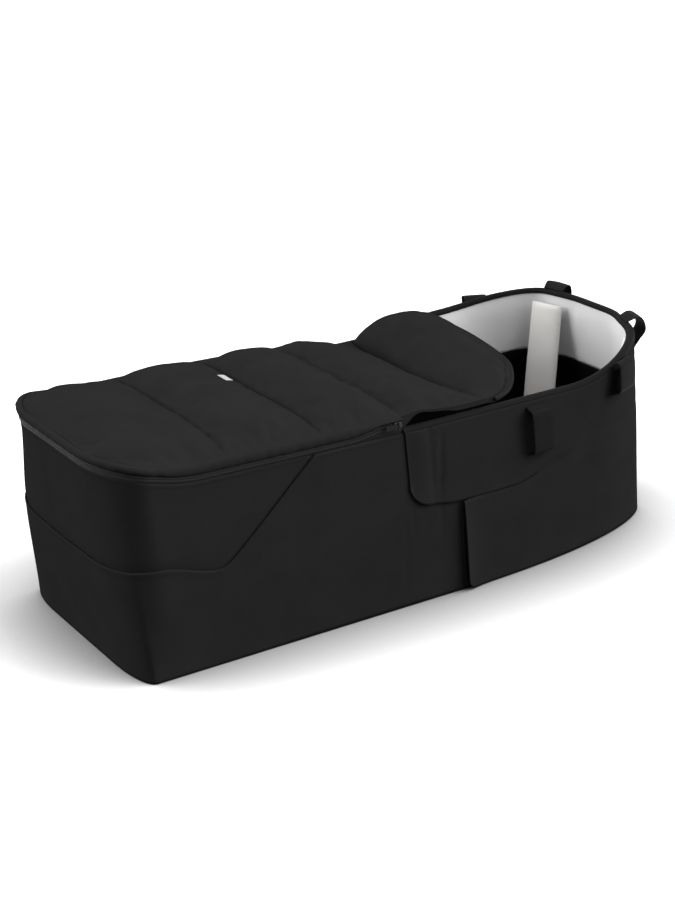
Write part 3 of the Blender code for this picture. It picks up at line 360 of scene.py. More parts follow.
def surface(name, points, material, around=False):
    """An open surface over a grid of points, or one that runs round."""
    rows, columns = points.shape[:2]
    return mesh_object(name, points.reshape(-1, 3), grid_faces(rows, columns, around).tolist(), material)


def with_normals(piece):
    """Make the faces of a closed piece look outwards."""
    shape = bmesh.new()
    shape.from_mesh(piece.data)
    bmesh.ops.recalc_face_normals(shape, faces=shape.faces)
    shape.to_mesh(piece.data)
    shape.free()
    piece.data.shade_smooth()
    piece.data.set_sharp_from_angle(angle=math.radians(SHARP_ANGLE))
    return piece


def swept(name, points, material, closed=False):
    """A closed piece from a section swept over a grid of points."""
    faces = tube_faces(*points.shape[:2], closed)
    return with_normals(mesh_object(name, points.reshape(-1, 3), faces, material))


def attach(piece, body, nodes):
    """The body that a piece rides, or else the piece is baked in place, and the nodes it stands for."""
    if isinstance(body, str):
        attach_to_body(piece, body)
    else:
        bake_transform(piece)
    if nodes:
        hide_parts(*([nodes] if isinstance(nodes, str) else nodes))
    return piece


def thicken(piece, thickness, offset=-1.0):
    """Give cloth its thickness inwards."""
    modifier = piece.modifiers.new("thickness", "SOLIDIFY")
    modifier.thickness = thickness
    modifier.offset = offset
    modifier.use_even_offset = False
    return piece


def outwards(piece):
    """Turn faces outwards from the cot's own middle line."""
    mesh = piece.data
    middle = Vector((SHIFT, 0.0, 0.5 * RIM_HEIGHT))
    score = 0.0
    for polygon in mesh.polygons:
        away = Vector(polygon.center) - middle
        away.x *= 0.3
        score += polygon.normal.dot(away) * polygon.area
    if score < 0.0:
        mesh.flip_normals()
    return piece


def relieve(points, amount):
    """Move grid points along their own outward normals."""
    along = np.gradient(points, axis=0)
    up = np.gradient(points, axis=1)
    normal = np.cross(along, up)
    normal /= np.maximum(np.linalg.norm(normal, axis=-1, keepdims=True), 1e-12)
    middle = np.array([SHIFT, 0.0, 0.0])
    away = (points - middle) * np.array([0.3, 1.0, 0.0])
    sign = np.sign((normal * away).sum(-1).sum())
    return points + sign * normal * amount[..., None]


# A stitch: length, gap to the next, thickness, corners of its section, and its shape along its length
STITCH, STITCH_GAP, STITCH_RADIUS, STITCH_SIDES = 0.0026, 0.0012, 0.00028, 5
STITCH_SHARES = np.array([0.0, 0.18, 0.5, 0.82, 1.0])
STITCH_HEIGHTS = STITCH_RADIUS * np.array([-0.6, 0.5, 0.9, 0.5, -0.6])
STITCH_WIDTHS = STITCH_RADIUS * np.array([0.35, 0.9, 1.0, 0.9, 0.35])


def sewn_stitches(name, path, normal, material, body):
    """A row of thread stitches along a path, lying on the cloth."""
    run = run_of(path)
    turns = 2.0 * math.pi * np.arange(STITCH_SIDES) / STITCH_SIDES
    points, faces = [], []
    for k in range(int(run[-1] / (STITCH + STITCH_GAP))):
        at = k * (STITCH + STITCH_GAP) + 0.5 * STITCH_GAP + STITCH_SHARES * STITCH
        spots, lifts = (np.stack([np.interp(at, run, values[:, axis]) for axis in range(3)], -1)
                        for values in (path, normal))
        along = spots[-1] - spots[0]
        along /= max(np.linalg.norm(along), 1e-9)
        across = np.cross(along, lifts[2])
        across /= max(np.linalg.norm(across), 1e-9)
        faces += [face[::-1] for face in tube_faces(len(at), STITCH_SIDES, start=len(points))]
        for spot, lift, height, width in zip(spots, lifts, STITCH_HEIGHTS, STITCH_WIDTHS):
            points += [spot + lift * (height + width * math.sin(turn)) + across * width * math.cos(turn)
                       for turn in turns]
    return attach(mesh_object(name, points, faces, material), body, None)


def wall_normals(stations):
    """Outward normals at the rim, in three dimensions."""
    _, normal = place(RIM, *stations)
    return np.concatenate([normal, np.zeros((len(normal), 1))], 1)


# Materials

def new_material(name):
    """An empty node material with its Principled shader."""
    material = bpy.data.materials.new(name)
    material.use_nodes = True
    return material, material.node_tree, material.node_tree.nodes["Principled BSDF"]


def add_node(tree, kind, **values):
    """A node with some of its inputs or settings given."""
    node = tree.nodes.new(kind)
    for key, value in values.items():
        if key in node.inputs:
            node.inputs[key].default_value = value
        else:
            setattr(node, key, value)
    return node


def join(tree, socket, value):
    """Give an input a number, or link an output to it."""
    if isinstance(value, (int, float)):
        socket.default_value = value
    else:
        tree.links.new(value, socket)


def maths(tree, operation, *values):
    """The result of a math node over outputs and numbers."""
    node = add_node(tree, "ShaderNodeMath", operation=operation)
    for socket, value in zip(node.inputs, values):
        join(tree, socket, value)
    return node.outputs[0]


def noise(tree, scale, detail, roughness):
    """Noise over the piece's own coordinates."""
    node = add_node(tree, "ShaderNodeTexNoise", Scale=scale, Detail=detail, Roughness=roughness)
    tree.links.new(add_node(tree, "ShaderNodeTexCoord").outputs["Object"], node.inputs["Vector"])
    return node.outputs["Fac"]


def coordinates(tree):
    """The piece's own x, y and z."""
    split = add_node(tree, "ShaderNodeSeparateXYZ")
    tree.links.new(add_node(tree, "ShaderNodeTexCoord").outputs["Object"], split.inputs[0])
    return split.outputs


def raise_surface(tree, shader, height, strength, distance):
    """Bump the surface by a height, on top of any bump it has already."""
    node = add_node(tree, "ShaderNodeBump", Strength=strength, Distance=distance)
    tree.links.new(height, node.inputs["Height"])
    normal = shader.inputs["Normal"]
    if normal.is_linked:
        tree.links.new(normal.links[0].from_socket, node.inputs["Normal"])
    tree.links.new(node.outputs[0], normal)


def vary_roughness(tree, shader, factor, low, high):
    """Let roughness go from low to high with a factor."""
    span = add_node(tree, "ShaderNodeMapRange", **{"To Min": low, "To Max": high})
    tree.links.new(factor, span.inputs["Value"])
    tree.links.new(span.outputs[0], shader.inputs["Roughness"])


THREAD_LEAN, GRAIN_SHARE, ROUGHNESS_SPREAD = 0.35, 0.6, 0.06


def cloth(name, colour, roughness, thread=0.0006, bump=0.25, mottling=0.06, shine=0.0):
    """Woven cloth: crossing threads at a real pitch, slight mottling of colour and roughness."""
    material, tree, shader = new_material(name)
    rate = 2.0 * math.pi / thread
    axes = coordinates(tree)
    waves = [maths(tree, "SINE", maths(tree, "ADD", maths(tree, "MULTIPLY", axes[axis], rate),
                                       maths(tree, "MULTIPLY", axes["Y"], rate * lean)))
             for axis, lean in (("X", THREAD_LEAN), ("Z", -THREAD_LEAN))]
    height = maths(tree, "MULTIPLY_ADD", noise(tree, 1400.0, 3.0, 0.6), GRAIN_SHARE,
                   maths(tree, "MULTIPLY", *waves))
    raise_surface(tree, shader, height, bump, 0.0002)
    mottle = noise(tree, 22.0, 5.0, 0.55)
    ramp = add_node(tree, "ShaderNodeValToRGB")
    for stop, at, change in zip(ramp.color_ramp.elements, (0.3, 0.7), (-mottling, mottling)):
        stop.color = tuple(min(1.0, channel * (1.0 + change)) for channel in colour) + (1.0,)
        stop.position = at
    tree.links.new(mottle, ramp.inputs["Fac"])
    tree.links.new(ramp.outputs["Color"], shader.inputs["Base Color"])
    vary_roughness(tree, shader, mottle, roughness - ROUGHNESS_SPREAD, roughness + ROUGHNESS_SPREAD)
    shader.inputs["Specular IOR Level"].default_value = shine
    return material


def ribbed(name, colour, roughness, pitch, shine=0.1):
    """Webbing or tape with ribs across it."""
    material = cloth(name, colour, roughness, shine=shine, thread=0.0008, bump=0.3)
    tree = material.node_tree
    ribs = maths(tree, "SINE", maths(tree, "MULTIPLY", coordinates(tree)["Z"], 2.0 * math.pi / pitch))
    raise_surface(tree, tree.nodes["Principled BSDF"], ribs, 0.5, 0.0004)
    return material


def hard(name, colour, roughness, metallic=0.0, scratch=0.15, shine=0.5):
    """Metal or plastic with fine wear in its roughness."""
    material, tree, shader = new_material(name)
    shader.inputs["Base Color"].default_value = (*colour, 1.0)
    shader.inputs["Metallic"].default_value = metallic
    shader.inputs["Specular IOR Level"].default_value = shine
    wear = noise(tree, 320.0, 6.0, 0.65)
    vary_roughness(tree, shader, wear, max(0.02, roughness - scratch), roughness + scratch)
    raise_surface(tree, shader, wear, 0.12, 0.0002)
    return material


OUTER = cloth("outer_fabric", (0.0205, 0.0205, 0.0205), 0.62)
COVER = cloth("cover_fabric", (0.0205, 0.0205, 0.0205), 0.58, thread=0.0005, bump=0.18)
# Rim binding, darker than the cloth to stand for the shade on the far binding that faces away from the lamps:
# partly its own dark colour, partly painted shade
TRIM_DARKENED_AS_SHADE = cloth("edge_trim", (0.0120, 0.0120, 0.0120), 0.50, thread=0.0007, shine=0.012)
# Webbing, darker than the cloth to stand for the shade on the loops that face away from the lamps: partly its
# own dark colour, partly painted shade
WEBBING_DARKENED_AS_SHADE = ribbed("webbing", (0.0130, 0.0130, 0.0132), 0.50, 0.0016, shine=0.012)
# Zip tape: its own black colour, made far darker than the cloth so that the narrow gaps beside the chain read
# black, which is painted shade
TAPE_AND_GAP_SHADE = ribbed("zip_tape", (0.0040, 0.0040, 0.0040), 0.60, 0.0011)
CHAIN_PLASTIC = hard("zip_chain", (0.0180, 0.0180, 0.0180), 0.42, shine=0.05)
STEEL = hard("zip_metal", (0.030, 0.030, 0.031), 0.45, metallic=1.0, scratch=0.10)
PULLER = hard("puller", (0.0160, 0.0160, 0.0160), 0.45, shine=0.04)
WHITE = cloth("white_lining", (0.75, 0.75, 0.755), 0.85, thread=0.0009, mottling=0.02, bump=0.2)
DARK = cloth("dark_lining", (0.0060, 0.0048, 0.0043), 0.95, thread=0.0012, bump=0.6)
STAY = cloth("stay_fabric", (0.83, 0.81, 0.785), 0.75, thread=0.0008, mottling=0.03, bump=0.25)
MATTRESS = cloth("mattress_cover", (0.0060, 0.0048, 0.0043), 0.95, thread=0.0014, bump=0.7)
THREAD = cloth("thread", (0.0240, 0.0240, 0.0240), 0.45, thread=0.0004)
WHITE_THREAD = cloth("white_thread", (0.76, 0.75, 0.73), 0.6, thread=0.0004, mottling=0.02)
BASE_CLOTH = cloth("base_skin", (0.014, 0.014, 0.014), 0.75, thread=0.0011, bump=0.5)
TAG = cloth("label", (0.52, 0.52, 0.53), 0.45, thread=0.0005, mottling=0.05)
BOARD = hard("board", (0.012, 0.012, 0.012), 0.7, shine=0.05)
WIRE = hard("wire", (0.012, 0.012, 0.012), 0.5, shine=0.05)


# Relief of the cloth

def skin_relief(points):
    """How far the outer cloth stands proud of the plain shell: slack waves and pulls."""
    x, y, z = points[..., 0] - SHIFT, points[..., 1], points[..., 2]
    around = x + np.sign(y) * 2.0
    slack = ripple(around * 9.0, z * 6.0, 3, octaves=3)
    fade = smoothstep(z / 0.03) * smoothstep((rim_height(x) - z) / 0.03)
    relief = 0.0009 * slack * fade
    fine = ripple(around * 60.0, z * 20.0, 5, octaves=3)
    relief += 0.00018 * fine * fade
    relief += SIDE_SEAM_DIP * bell(x, HEAD_FLAP_X - 0.0005, 0.0016) * fade * (z < split_height(x) + 0.03)
    return relief + head_folds(x, y, z) * fade


def head_folds(x, y, z):
    """Soft folds over and under the head flap, on the near side only."""
    total = np.zeros_like(x)
    for fold_x, fold_z, turn, long, wide, deep in HEAD_FOLDS:
        along = (x - fold_x) * math.cos(turn) + (z - fold_z) * math.sin(turn)
        across = -(x - fold_x) * math.sin(turn) + (z - fold_z) * math.cos(turn)
        total += deep * np.exp(-(along / long) ** 4) * np.exp(-(across / wide) ** 2)
    return total * (y < 0.0)


def seam_height(x, y):
    """Height of the seam round the foot."""
    slope = (RIM_HEIGHT - SEAM_SIDE) / (SEAM_TOP_X - SEAM_TURN_X)
    past = x - SEAM_TURN_X
    climb = slope * 0.5 * (past + np.hypot(past, SEAM_ROUND))
    ease = smoothstep(-past / SEAM_REACH)
    sag = SEAM_SAG * ease * np.clip(1.0 - (y / SEAM_SAG_HALF) ** 2, 0.0, None)
    return mix(SEAM_SIDE, SEAM_FOOT, ease) + climb - sag


def split_height(x):
    """Height at which the head's upper flap ends and the lower wrap begins."""
    lift = SPLIT_RISE * smoothstep((x - SPLIT_RISE_X) / SPLIT_RISE_REACH)
    front = SPLIT_FRONT * (1.0 - smoothstep((x - HEAD_FLAP_X) / (HEAD_WRAP_X - HEAD_FLAP_X)))
    return SPLIT_LOW + lift + front


def seam_shown(x):
    """1 where the flap's lower edge stands clear of the wrap, 0 where they run together by the head."""
    return 1.0 - smoothstep((x - 0.150) / 0.070)


def at_foot(x):
    """1 at the foot end, 0 along the sides."""
    return smoothstep((-0.33 - x) / 0.07)


def zip_drop(x):
    """How far the zip hangs below its height at the sliders."""
    return mix(ZIP_DROP, ZIP_DROP_FOOT, at_foot(x)) * smoothstep((-0.040 - x) / 0.060)


def skin_top(x):
    """Top edge of the outer cloth: a folded hem under the zip, or up to the binding of the open part."""
    return rim_height(x) - RIM_BAND + 0.0010 + 0.0035 * at_foot(x)


def rows_between(low, high, count):
    """Heights of rows from one edge to another, for each station."""
    return low[:, None] + (high - low)[:, None] * np.linspace(0.0, 1.0, count)[None, :]


def finish_cloth(piece, thickness, nodes,
                 offset=-1.0):
    """Thickness inwards, the shell body it rides and the nodes it stands for."""
    thicken(outwards(piece), thickness, offset)
    attach(piece, "shell", nodes)


def build_skin():
    """Main outer skin and the foot's upper panel."""
    loop = full_loop(FINE)
    x, y = place(RIM, *loop)[0].T
    top = skin_top(x)
    seam = np.minimum(seam_height(x, y), top)
    heights = rows_between(np.full(len(top), FOOT_HEIGHT), seam, SKIN_ROWS)
    points = wall(loop, heights, 0.0)
    lip = 0.0007 * bell(heights, seam[:, None] - 0.003, 0.0042) * (seam < top - 0.002)[:, None]
    points = relieve(points, skin_relief(points) + lip)
    finish_cloth(surface("body_skin", points, OUTER, around=True), SKIN, "body_panel")

    foot = round_foot(mix(SEAM_TURN_X, SEAM_TOP_X, 0.93), FINE)
    x, y = place(RIM, *foot)[0].T
    top = skin_top(x)
    seam = np.minimum(seam_height(x, y) - 0.004, top - 0.001)
    heights = rows_between(seam, top, FOOT_ROWS)
    points = wall(foot, heights, STEP)
    over = heights - seam_height(x, y)[:, None]
    tuck = -0.0016 * np.exp(-np.clip(over, 0.0, None) / 0.006)
    points = relieve(points, skin_relief(points) + tuck)
    finish_cloth(surface("foot_skin", points, OUTER), SKIN, "foot_upper_panel")


def rounded_edge(x, edge_x, radius):
    """Height lost at a rounded lower corner."""
    reach = 1.0 - (x - edge_x) / radius
    return radius * (1.0 - np.sqrt(np.clip(1.0 - np.clip(reach, 0.0, 1.0) ** 2, 0.0, 1.0)))


def corner_stations(edge_x, radius):
    """Stations round the head, closer together at the rounded front corners."""
    close = 6
    turns = 0.5 * math.pi * np.arange(close) / close
    shares = (edge_x + radius * (1.0 - np.cos(turns)) - RIM[0]) / (RIM[1] - RIM[0])
    return joined((shares, np.full(close, -1.0)), round_head(edge_x + radius, FINE),
                  (shares[::-1], np.full(close, 1.0)))


OVERLAY_SLACK = 1.2


def build_head_flap():
    """The hemmed flap over the head, open at the front edge."""
    stations = corner_stations(HEAD_FLAP_X, HEAD_FLAP_CORNER)
    x = rim_x(stations)
    low = split_height(x) + rounded_edge(x, HEAD_FLAP_X, HEAD_FLAP_CORNER)
    heights = rows_between(low, skin_top(x) + 0.0004, HEAD_FLAP_ROWS)
    points = wall(stations, heights, OVERLAY_DEPTH)
    from_front = (x - HEAD_FLAP_X)[:, None]
    hem = 0.0012 * np.exp(-((from_front - 0.020) / 0.012) ** 4)
    dip = -0.0011 * bell(from_front, 0.036, 0.0035)
    edge = 0.0010 * np.exp(-np.clip(heights - low[:, None], 0.0, None) / 0.006) * seam_shown(x)[:, None]
    belly = 0.0022 * bell(from_front, 0.12, 0.07) * bell(heights, 0.185, 0.035)
    merged = (1.0 - seam_shown(x))[:, None]
    sunk = -MERGE_DEPTH * merged * (1.0 - smoothstep((heights - low[:, None]) / MERGE_HEIGHT))
    points = relieve(points, skin_relief(points) * OVERLAY_SLACK + hem + dip + edge + belly + sunk)
    finish_cloth(surface("head_overlay", points, OUTER), OVERLAY, "head_flap")


def build_head_wrap():
    """The wrap under the head flap, lifting a little at its open front edge."""
    stations = corner_stations(HEAD_WRAP_X, HEAD_WRAP_CORNER)
    x = rim_x(stations)
    merged = 1.0 - seam_shown(x)
    high = split_height(x) - 0.0004 + (MERGE_HEIGHT + 0.0004) * merged
    low = FOOT_HEIGHT + rounded_edge(x, HEAD_WRAP_X, HEAD_WRAP_CORNER)
    heights = rows_between(low, high, HEAD_WRAP_ROWS)
    points = wall(stations, heights, OVERLAY_DEPTH)
    from_front = (x - HEAD_WRAP_X)[:, None]
    lower = 1.0 - heights / high[:, None]
    lift = mix(0.0048, 0.0095, lower ** 0.7) * np.exp(-np.clip(from_front, 0.0, None) / 0.016)
    sunk = -MERGE_DEPTH * merged[:, None] * smoothstep((heights - split_height(x)[:, None]) / MERGE_HEIGHT)
    points = relieve(points, skin_relief(points) * OVERLAY_SLACK + lift + sunk)
    finish_cloth(surface("head_lower_wrap", points, OUTER), OVERLAY, "head_wrap")


def build_slit_painted_shade():
    """A dark sheet on the skin in the slit in front of the head wrap, one on each side: painted shade
    standing for the dark gap under the wrap's lifted edge.
    """
    for side, word in SIDES:
        stations = side_stations(side, HEAD_WRAP_X - 0.0012, HEAD_WRAP_X + 0.030, SHADE_SHEET_SPACING)
        x = rim_x(stations)
        heights = rows_between(np.full(len(x), FOOT_HEIGHT + 0.001), split_height(x) - 0.002, SHADE_SHEET_ROWS)
        points = wall(stations, heights, -0.0006)
        shade_sheet = surface("slit_shade_sheet_" + word, relieve(points, skin_relief(points)), TAPE_AND_GAP_SHADE)
        finish_cloth(shade_sheet, 0.0004, None)


def build_linings():
    """Padded white lining above and dark lining below, with a soft sewn line between them."""
    loop = full_loop(COARSE)
    rim = rim_of(loop)
    x = rim_x(loop)
    split = rim - LINING_DROP - LINING_HEAD_DROP * smoothstep((x - 0.385) / 0.030)
    top = rim - 0.0045 + LINING_HANG * zip_drop(x)
    for name, node, low, high, material, slot_name, flat in (
            ("white_inner_lining", "upper_lining", split, top, WHITE, "white_lining", (2.18, 0.086)),
            ("dark_inner_lining", "lower_lining", np.full(len(rim), BOARD_TOP + BOARD_CLEAR), split, DARK,
             "dark_lining", (2.14, 0.175))):
        heights = rows_between(low, high, LINING_ROWS)
        near_rim = smoothstep((heights - rim[:, None] + 0.030) / 0.026)
        points = wall(loop, heights, mix(LINING_DEPTH + 0.0030, RIM_THICK - 0.0008, near_rim))
        around = arc_length(loop)[:, None] + np.zeros_like(heights)
        share = (heights - low[:, None]) / (high - low)[:, None]
        puff = np.sin(math.pi * np.clip(share, 0.0, 1.0)) ** 0.6
        relief = -0.0012 * puff - 0.0009 * ripple(around * 26.0, heights * 14.0, 11) * puff
        at_head = (points[..., 0] - SHIFT > 0.400) * (node == "upper_lining")
        for seam_y in LINING_SEAMS:
            relief = relief - 0.0011 * bell(points[..., 1], seam_y, 0.0014) * at_head
        piece = surface(name, relieve(points, relief), material, around=True)
        finish_cloth(piece, 0.0022, node, offset=1.0)


def rim_strip(name, stations, section, material, nodes, body, relief=0.0, hang=0.0):
    """A sewn strip along the rim from a closed section of heights over the rim and depths.

    hang is the share of the zip's drop that each point of the section takes."""
    over, depths = np.array(section).T
    heights = rim_of(stations)[:, None] + over[None, :]
    heights = heights + zip_drop(rim_x(stations))[:, None] * np.asarray(hang)
    points = wall(stations, heights, depths[None, :] + np.zeros_like(heights) + relief)
    return attach(swept(name, points, material), body, nodes)


COVER_BEND = ("shell", "cover", (HINGE_X + SHIFT - 0.030, 0.0, 0.28), (HINGE_X + SHIFT + 0.030, 0.0, 0.28))


def oval(height, depth, half_height, half_depth, count=16):
    """A rounded section about a place."""
    turns = 2.0 * np.pi * np.arange(count) / count
    return [(height + half_height * math.sin(turn), depth + half_depth * math.cos(turn)) for turn in turns]


def build_binding():
    """The bound rim of the open part, with a row of stitches on each side."""
    stations = round_head(ZIP_END_X + ZIP_END_GAP, FINE)
    inner = RIM_THICK
    middle = 0.5 * inner
    low, low_in = -RIM_BAND, -RIM_BAND_INNER
    section = [(low, -0.0016), (0.75 * low, -0.0021), (0.45 * low, -0.0019), (0.16 * low, -0.0006),
               (0.0004, 0.0020), (0.0008, middle), (0.0004, inner - 0.0022), (0.16 * low_in, inner + 0.0002),
               (0.45 * low_in, inner + 0.0012), (0.75 * low_in, inner + 0.0013), (low_in, inner + 0.0008),
               (low_in, inner - 0.0004), (0.75 * low_in, inner - 0.0008), (0.45 * low_in, inner - 0.0022),
               (-0.0022, middle), (0.45 * low, 0.0022), (0.75 * low, 0.0008), (low, -0.0004)]
    around = arc_length(stations)[:, None]
    pucker = 0.00022 * ripple(around * 420.0, np.arange(len(section))[None, :] * 0.9, 21, octaves=2)
    rim_strip("rim_binding_tape", stations, section, TRIM_DARKENED_AS_SHADE, "rim_binding", "shell", pucker)
    for name, side, height, depth in (("binding_stitches_outer", -1.0, 0.72 * low, -0.0021),
                                      ("binding_stitches_inner", 1.0, 0.72 * low_in, inner + 0.0013)):
        path = wall(stations, rim_of(stations)[:, None] + height, depth)[:, 0]
        sewn_stitches(name, path, -side * wall_normals(stations), THREAD, "shell")


def build_lower_tape():
    """The zip's lower tape, sewn into the hem of the outer skin."""
    lower = round_foot(ZIP_END_X - ZIP_END_GAP, FINE)
    behind = SKIN + 0.0002
    tape = [(-BINDING_DEPTH, behind), (-0.0068, behind), (-0.0020, TAPE_DEPTH + 0.0004),
            (CHAIN[0] - 0.0002, TAPE_DEPTH), (CHAIN[0] - 0.0002, TAPE_DEPTH + TAPE),
            (-0.0020, TAPE_DEPTH + 0.0004 + TAPE), (-0.0068, behind + TAPE), (-BINDING_DEPTH, behind + TAPE)]
    hang = (0.0, 0.0, 0.5, LOWER_DROP, LOWER_DROP, 0.5, 0.0, 0.0)
    rim_strip("zip_tape_lower", lower, tape, TAPE_AND_GAP_SHADE, "lower_zip_tape", "shell", hang=hang)
    hem = skin_top(rim_x(lower))[:, None] - 0.0045
    path = wall(lower, hem, -0.0003)[:, 0]
    sewn_stitches("hem_stitches", path, wall_normals(lower), THREAD, "shell")


COIL_PITCH, COIL_SIDES = 0.0018, 10


def coil_strip(name, stations, low, high, nodes, body, phase, drop):
    """One half of the zip's coil: a strip with a bump for each turn of the coil."""
    run = arc_length(stations)
    at = np.linspace(0.0, run[-1], int(run[-1] / (COIL_PITCH / 4.0)))
    fine = tuple(np.interp(at, run, values) for values in stations)
    section = oval(0.5 * (low + high), TAPE_DEPTH + 0.0002, 0.5 * (high - low), 0.0012, COIL_SIDES)
    turns = np.cos(2.0 * np.pi * at / COIL_PITCH + phase)[:, None]
    outer = -np.cos(2.0 * math.pi * np.arange(COIL_SIDES) / COIL_SIDES)[None, :]
    relief = -0.00028 * turns * np.clip(outer, 0.0, None)
    rim_strip(name, fine, section, CHAIN_PLASTIC, nodes, body, relief, drop)


BOARD_DEPTH, BOARD_THICK, BOARD_GAP = 0.0026, 0.0022, 0.0002
HOOP_RADIUS, HOOP_SIDES = 0.0016, 8


def build_stiffeners():
    """Boards in the walls and the wire in the rim, curved as the soft shell is."""
    for node, stations in (
            ("foot_board", round_foot(FOOT_JOINT_X - BOARD_GAP)),
            ("near_side_board", side_stations(-1, FOOT_JOINT_X + BOARD_GAP, HEAD_JOINT_X - BOARD_GAP)),
            ("far_side_board", side_stations(1, HEAD_JOINT_X - BOARD_GAP, FOOT_JOINT_X + BOARD_GAP)),
            ("head_board", round_head(HEAD_JOINT_X + BOARD_GAP))):
        top = rim_of(stations) - BOARD_BELOW_RIM
        heights = rows_between(np.full(len(top), BOARD_TOP + BOARD_CLEAR), top, BOARD_ROWS)
        points = np.concatenate([wall(stations, heights, BOARD_DEPTH),
                                 wall(stations, heights[:, ::-1], BOARD_DEPTH + BOARD_THICK)], 1)
        attach(swept(node + "_sheet", points, BOARD), "shell", node)
    loop = full_loop(COARSE)
    turns = 2.0 * np.pi * np.arange(HOOP_SIDES) / HOOP_SIDES
    heights = rim_of(loop)[:, None] - HOOP_BELOW_RIM + HOOP_RADIUS * np.sin(turns)[None, :]
    points = wall(loop, heights, 0.5 * RIM_THICK + HOOP_RADIUS * np.cos(turns))
    attach(swept("rim_hoop", points, WIRE, closed=True), "shell", "rim_wire")


def build_coils():
    """Both halves of the zip."""
    lower = round_foot(ZIP_END_X - ZIP_END_GAP, FINE)
    coil_strip("zip_coil_lower", lower, CHAIN[0], CHAIN[1], "lower_zip_chain", "shell", 0.0, LOWER_DROP)
    uppers = ("rear_upper_zip_chain", "near_upper_zip_chain", "far_upper_zip_chain")
    coil_strip("zip_coil_upper", lower, CHAIN[2], CHAIN[3], uppers, COVER_BEND, math.pi, 1.0)


def build_piping():
    """The upper tape and the rounded band that joins the zip to the cover."""
    stations = round_foot(ZIP_END_X - ZIP_END_GAP, PIPING_SPACING)
    outer, inner = TAPE_DEPTH + 0.0006, TAPE_DEPTH + 0.0006 + TAPE
    tape = [(CHAIN[3] + 0.0002, outer), (0.0135, outer), (0.0135, inner), (CHAIN[3] + 0.0002, inner)]
    tapes = ("rear_upper_zip_tape", "near_upper_zip_tape", "far_upper_zip_tape")
    rim_strip("zip_tape_upper", stations, tape, TAPE_AND_GAP_SHADE, tapes, COVER_BEND,
              hang=(1.0, 0.6, 0.6, 1.0))
    section = [(0.0117, 0.0002), (0.0117, -0.0014), (0.0124, -0.0025), (0.0134, -0.0029), (0.0145, -0.0024),
               (0.0154, -0.0011), (0.0159, 0.0008), (0.0160, 0.0030), (0.0156, 0.0058), (0.0142, 0.0062),
               (0.0132, 0.0044), (0.0122, 0.0022)]
    hang = (1.0, 1.0, 0.85, 0.60, 0.35, 0.14, 0.04, 0.0, 0.0, 0.1, 0.4, 0.8)
    around = arc_length(stations)[:, None]
    rows = np.arange(len(section))[None, :] * 0.5
    pucker = 0.00055 * ripple(around * 330.0, rows, 31, octaves=2) * np.array(hang)[None, :] ** 0.5
    rim_strip("piping_band", stations, section, COVER, ("rear_piping", "near_piping", "far_piping"),
              COVER_BEND, pucker, hang)


# Cover

# Cloth simulations: frames, and for each padded piece its pressure, its slack and the most it may rise
SIM_FRAMES = 20
COVER_PADDING, FLAP_PADDING, MATTRESS_PADDING = (3.0, 0.030, 0.0060), (2.0, 0.025, 0.0040), (1.5, 0.02, 0.004)

COVER_ENDS = (RIM[0] + COVER_INSET, *SEAM_XS, FOLD_X)
PUFFS = (0.0032, 0.0080, 0.0092, 0.0075)
FOLD_LOW, FOLD_NEAR, FOLD_FAR = -0.0078, 0.0124, 0.0040


def fold_height(across):
    """Height of the seam where the wind flap folds, dipping towards the middle."""
    near = FOLD_NEAR * np.clip((0.1 - across) / 1.07, 0.0, 1.05) ** 2
    return RIM_HEIGHT + FOLD_OVER_RIM + FOLD_LOW + near + FOLD_FAR * smoothstep((across - 0.72) / 0.3)


def edge_rise(x):
    """Height of the cover's edge over the rim."""
    lowered = smoothstep((x - 0.035) / (FOLD_X - 0.035))
    bump = 0.0045 * bell(x, 0.010, 0.020) * (x > ZIP_END_X - 0.02)
    return mix(PIPING_HEIGHT + 0.0012, FOLD_OVER_RIM, lowered) + bump


def cover_height(x, across):
    """Top of the padded cover before its seams are drawn in."""
    channel = np.clip(np.searchsorted(np.array(COVER_ENDS), x, side="right") - 1, 0, 3)
    starts, stops = np.array(COVER_ENDS)[channel], np.array(COVER_ENDS)[channel + 1]
    share = np.clip((x - starts) / (stops - starts), 0.0, 1.0)
    puff = np.array(PUFFS)[channel] * np.sin(math.pi * share) ** 0.62
    ramp = smoothstep((x - COVER_ENDS[0]) / 0.070)
    crown = mix(0.016, 0.009, smoothstep((x - HINGE_X) / 0.130)) * ramp
    shoulder = 1.0 - np.abs(across) ** 3.4
    sharp = mix(7.0, 11.0, smoothstep((across + 0.3) / 0.8))
    plain = rim_height(x) + edge_rise(x) + crown * shoulder
    plain = mix(plain, fold_height(across), smoothstep((x + 0.030) / (FOLD_X + 0.025)))
    return plain + puff * ramp * (1.0 - np.abs(across) ** sharp)


def cover_relief(x, y):
    """Stitched valleys, puckers beside them and slack in the channels."""
    relief = np.zeros_like(x)
    wander = ripple(x * 120.0, y * 30.0, 41, octaves=2)
    for seam_x, deep, near_share in zip(SEAM_XS, SEAM_DEPTHS, SEAM_NEAR_SHARES):
        distance = np.abs(x - seam_x)
        along = mix(near_share, 1.0, smoothstep((y + 0.11) / 0.12))
        relief -= deep * np.exp(-(distance / 0.0022) ** 1.3) * along
        side = np.sign(x - seam_x)
        relief += 0.00055 * ripple(y * 210.0 + side * 9.0, x * 30.0, 43 + int(1000 * abs(seam_x)),
                                   octaves=3) * np.exp(-distance / 0.014)
    relief += 0.0007 * wander * 0.6
    relief += 0.0010 * ripple(x * 26.0, y * 20.0, 47, octaves=3)
    relief -= 0.0040 * np.exp(-(FOLD_X - x) / 0.0035)
    return relief


def cover_top(x, across, y):
    """Finished top of the cover."""
    inner = (1.0 - np.abs(across) ** 10)
    return cover_height(x, across) + cover_relief(x, y) * inner


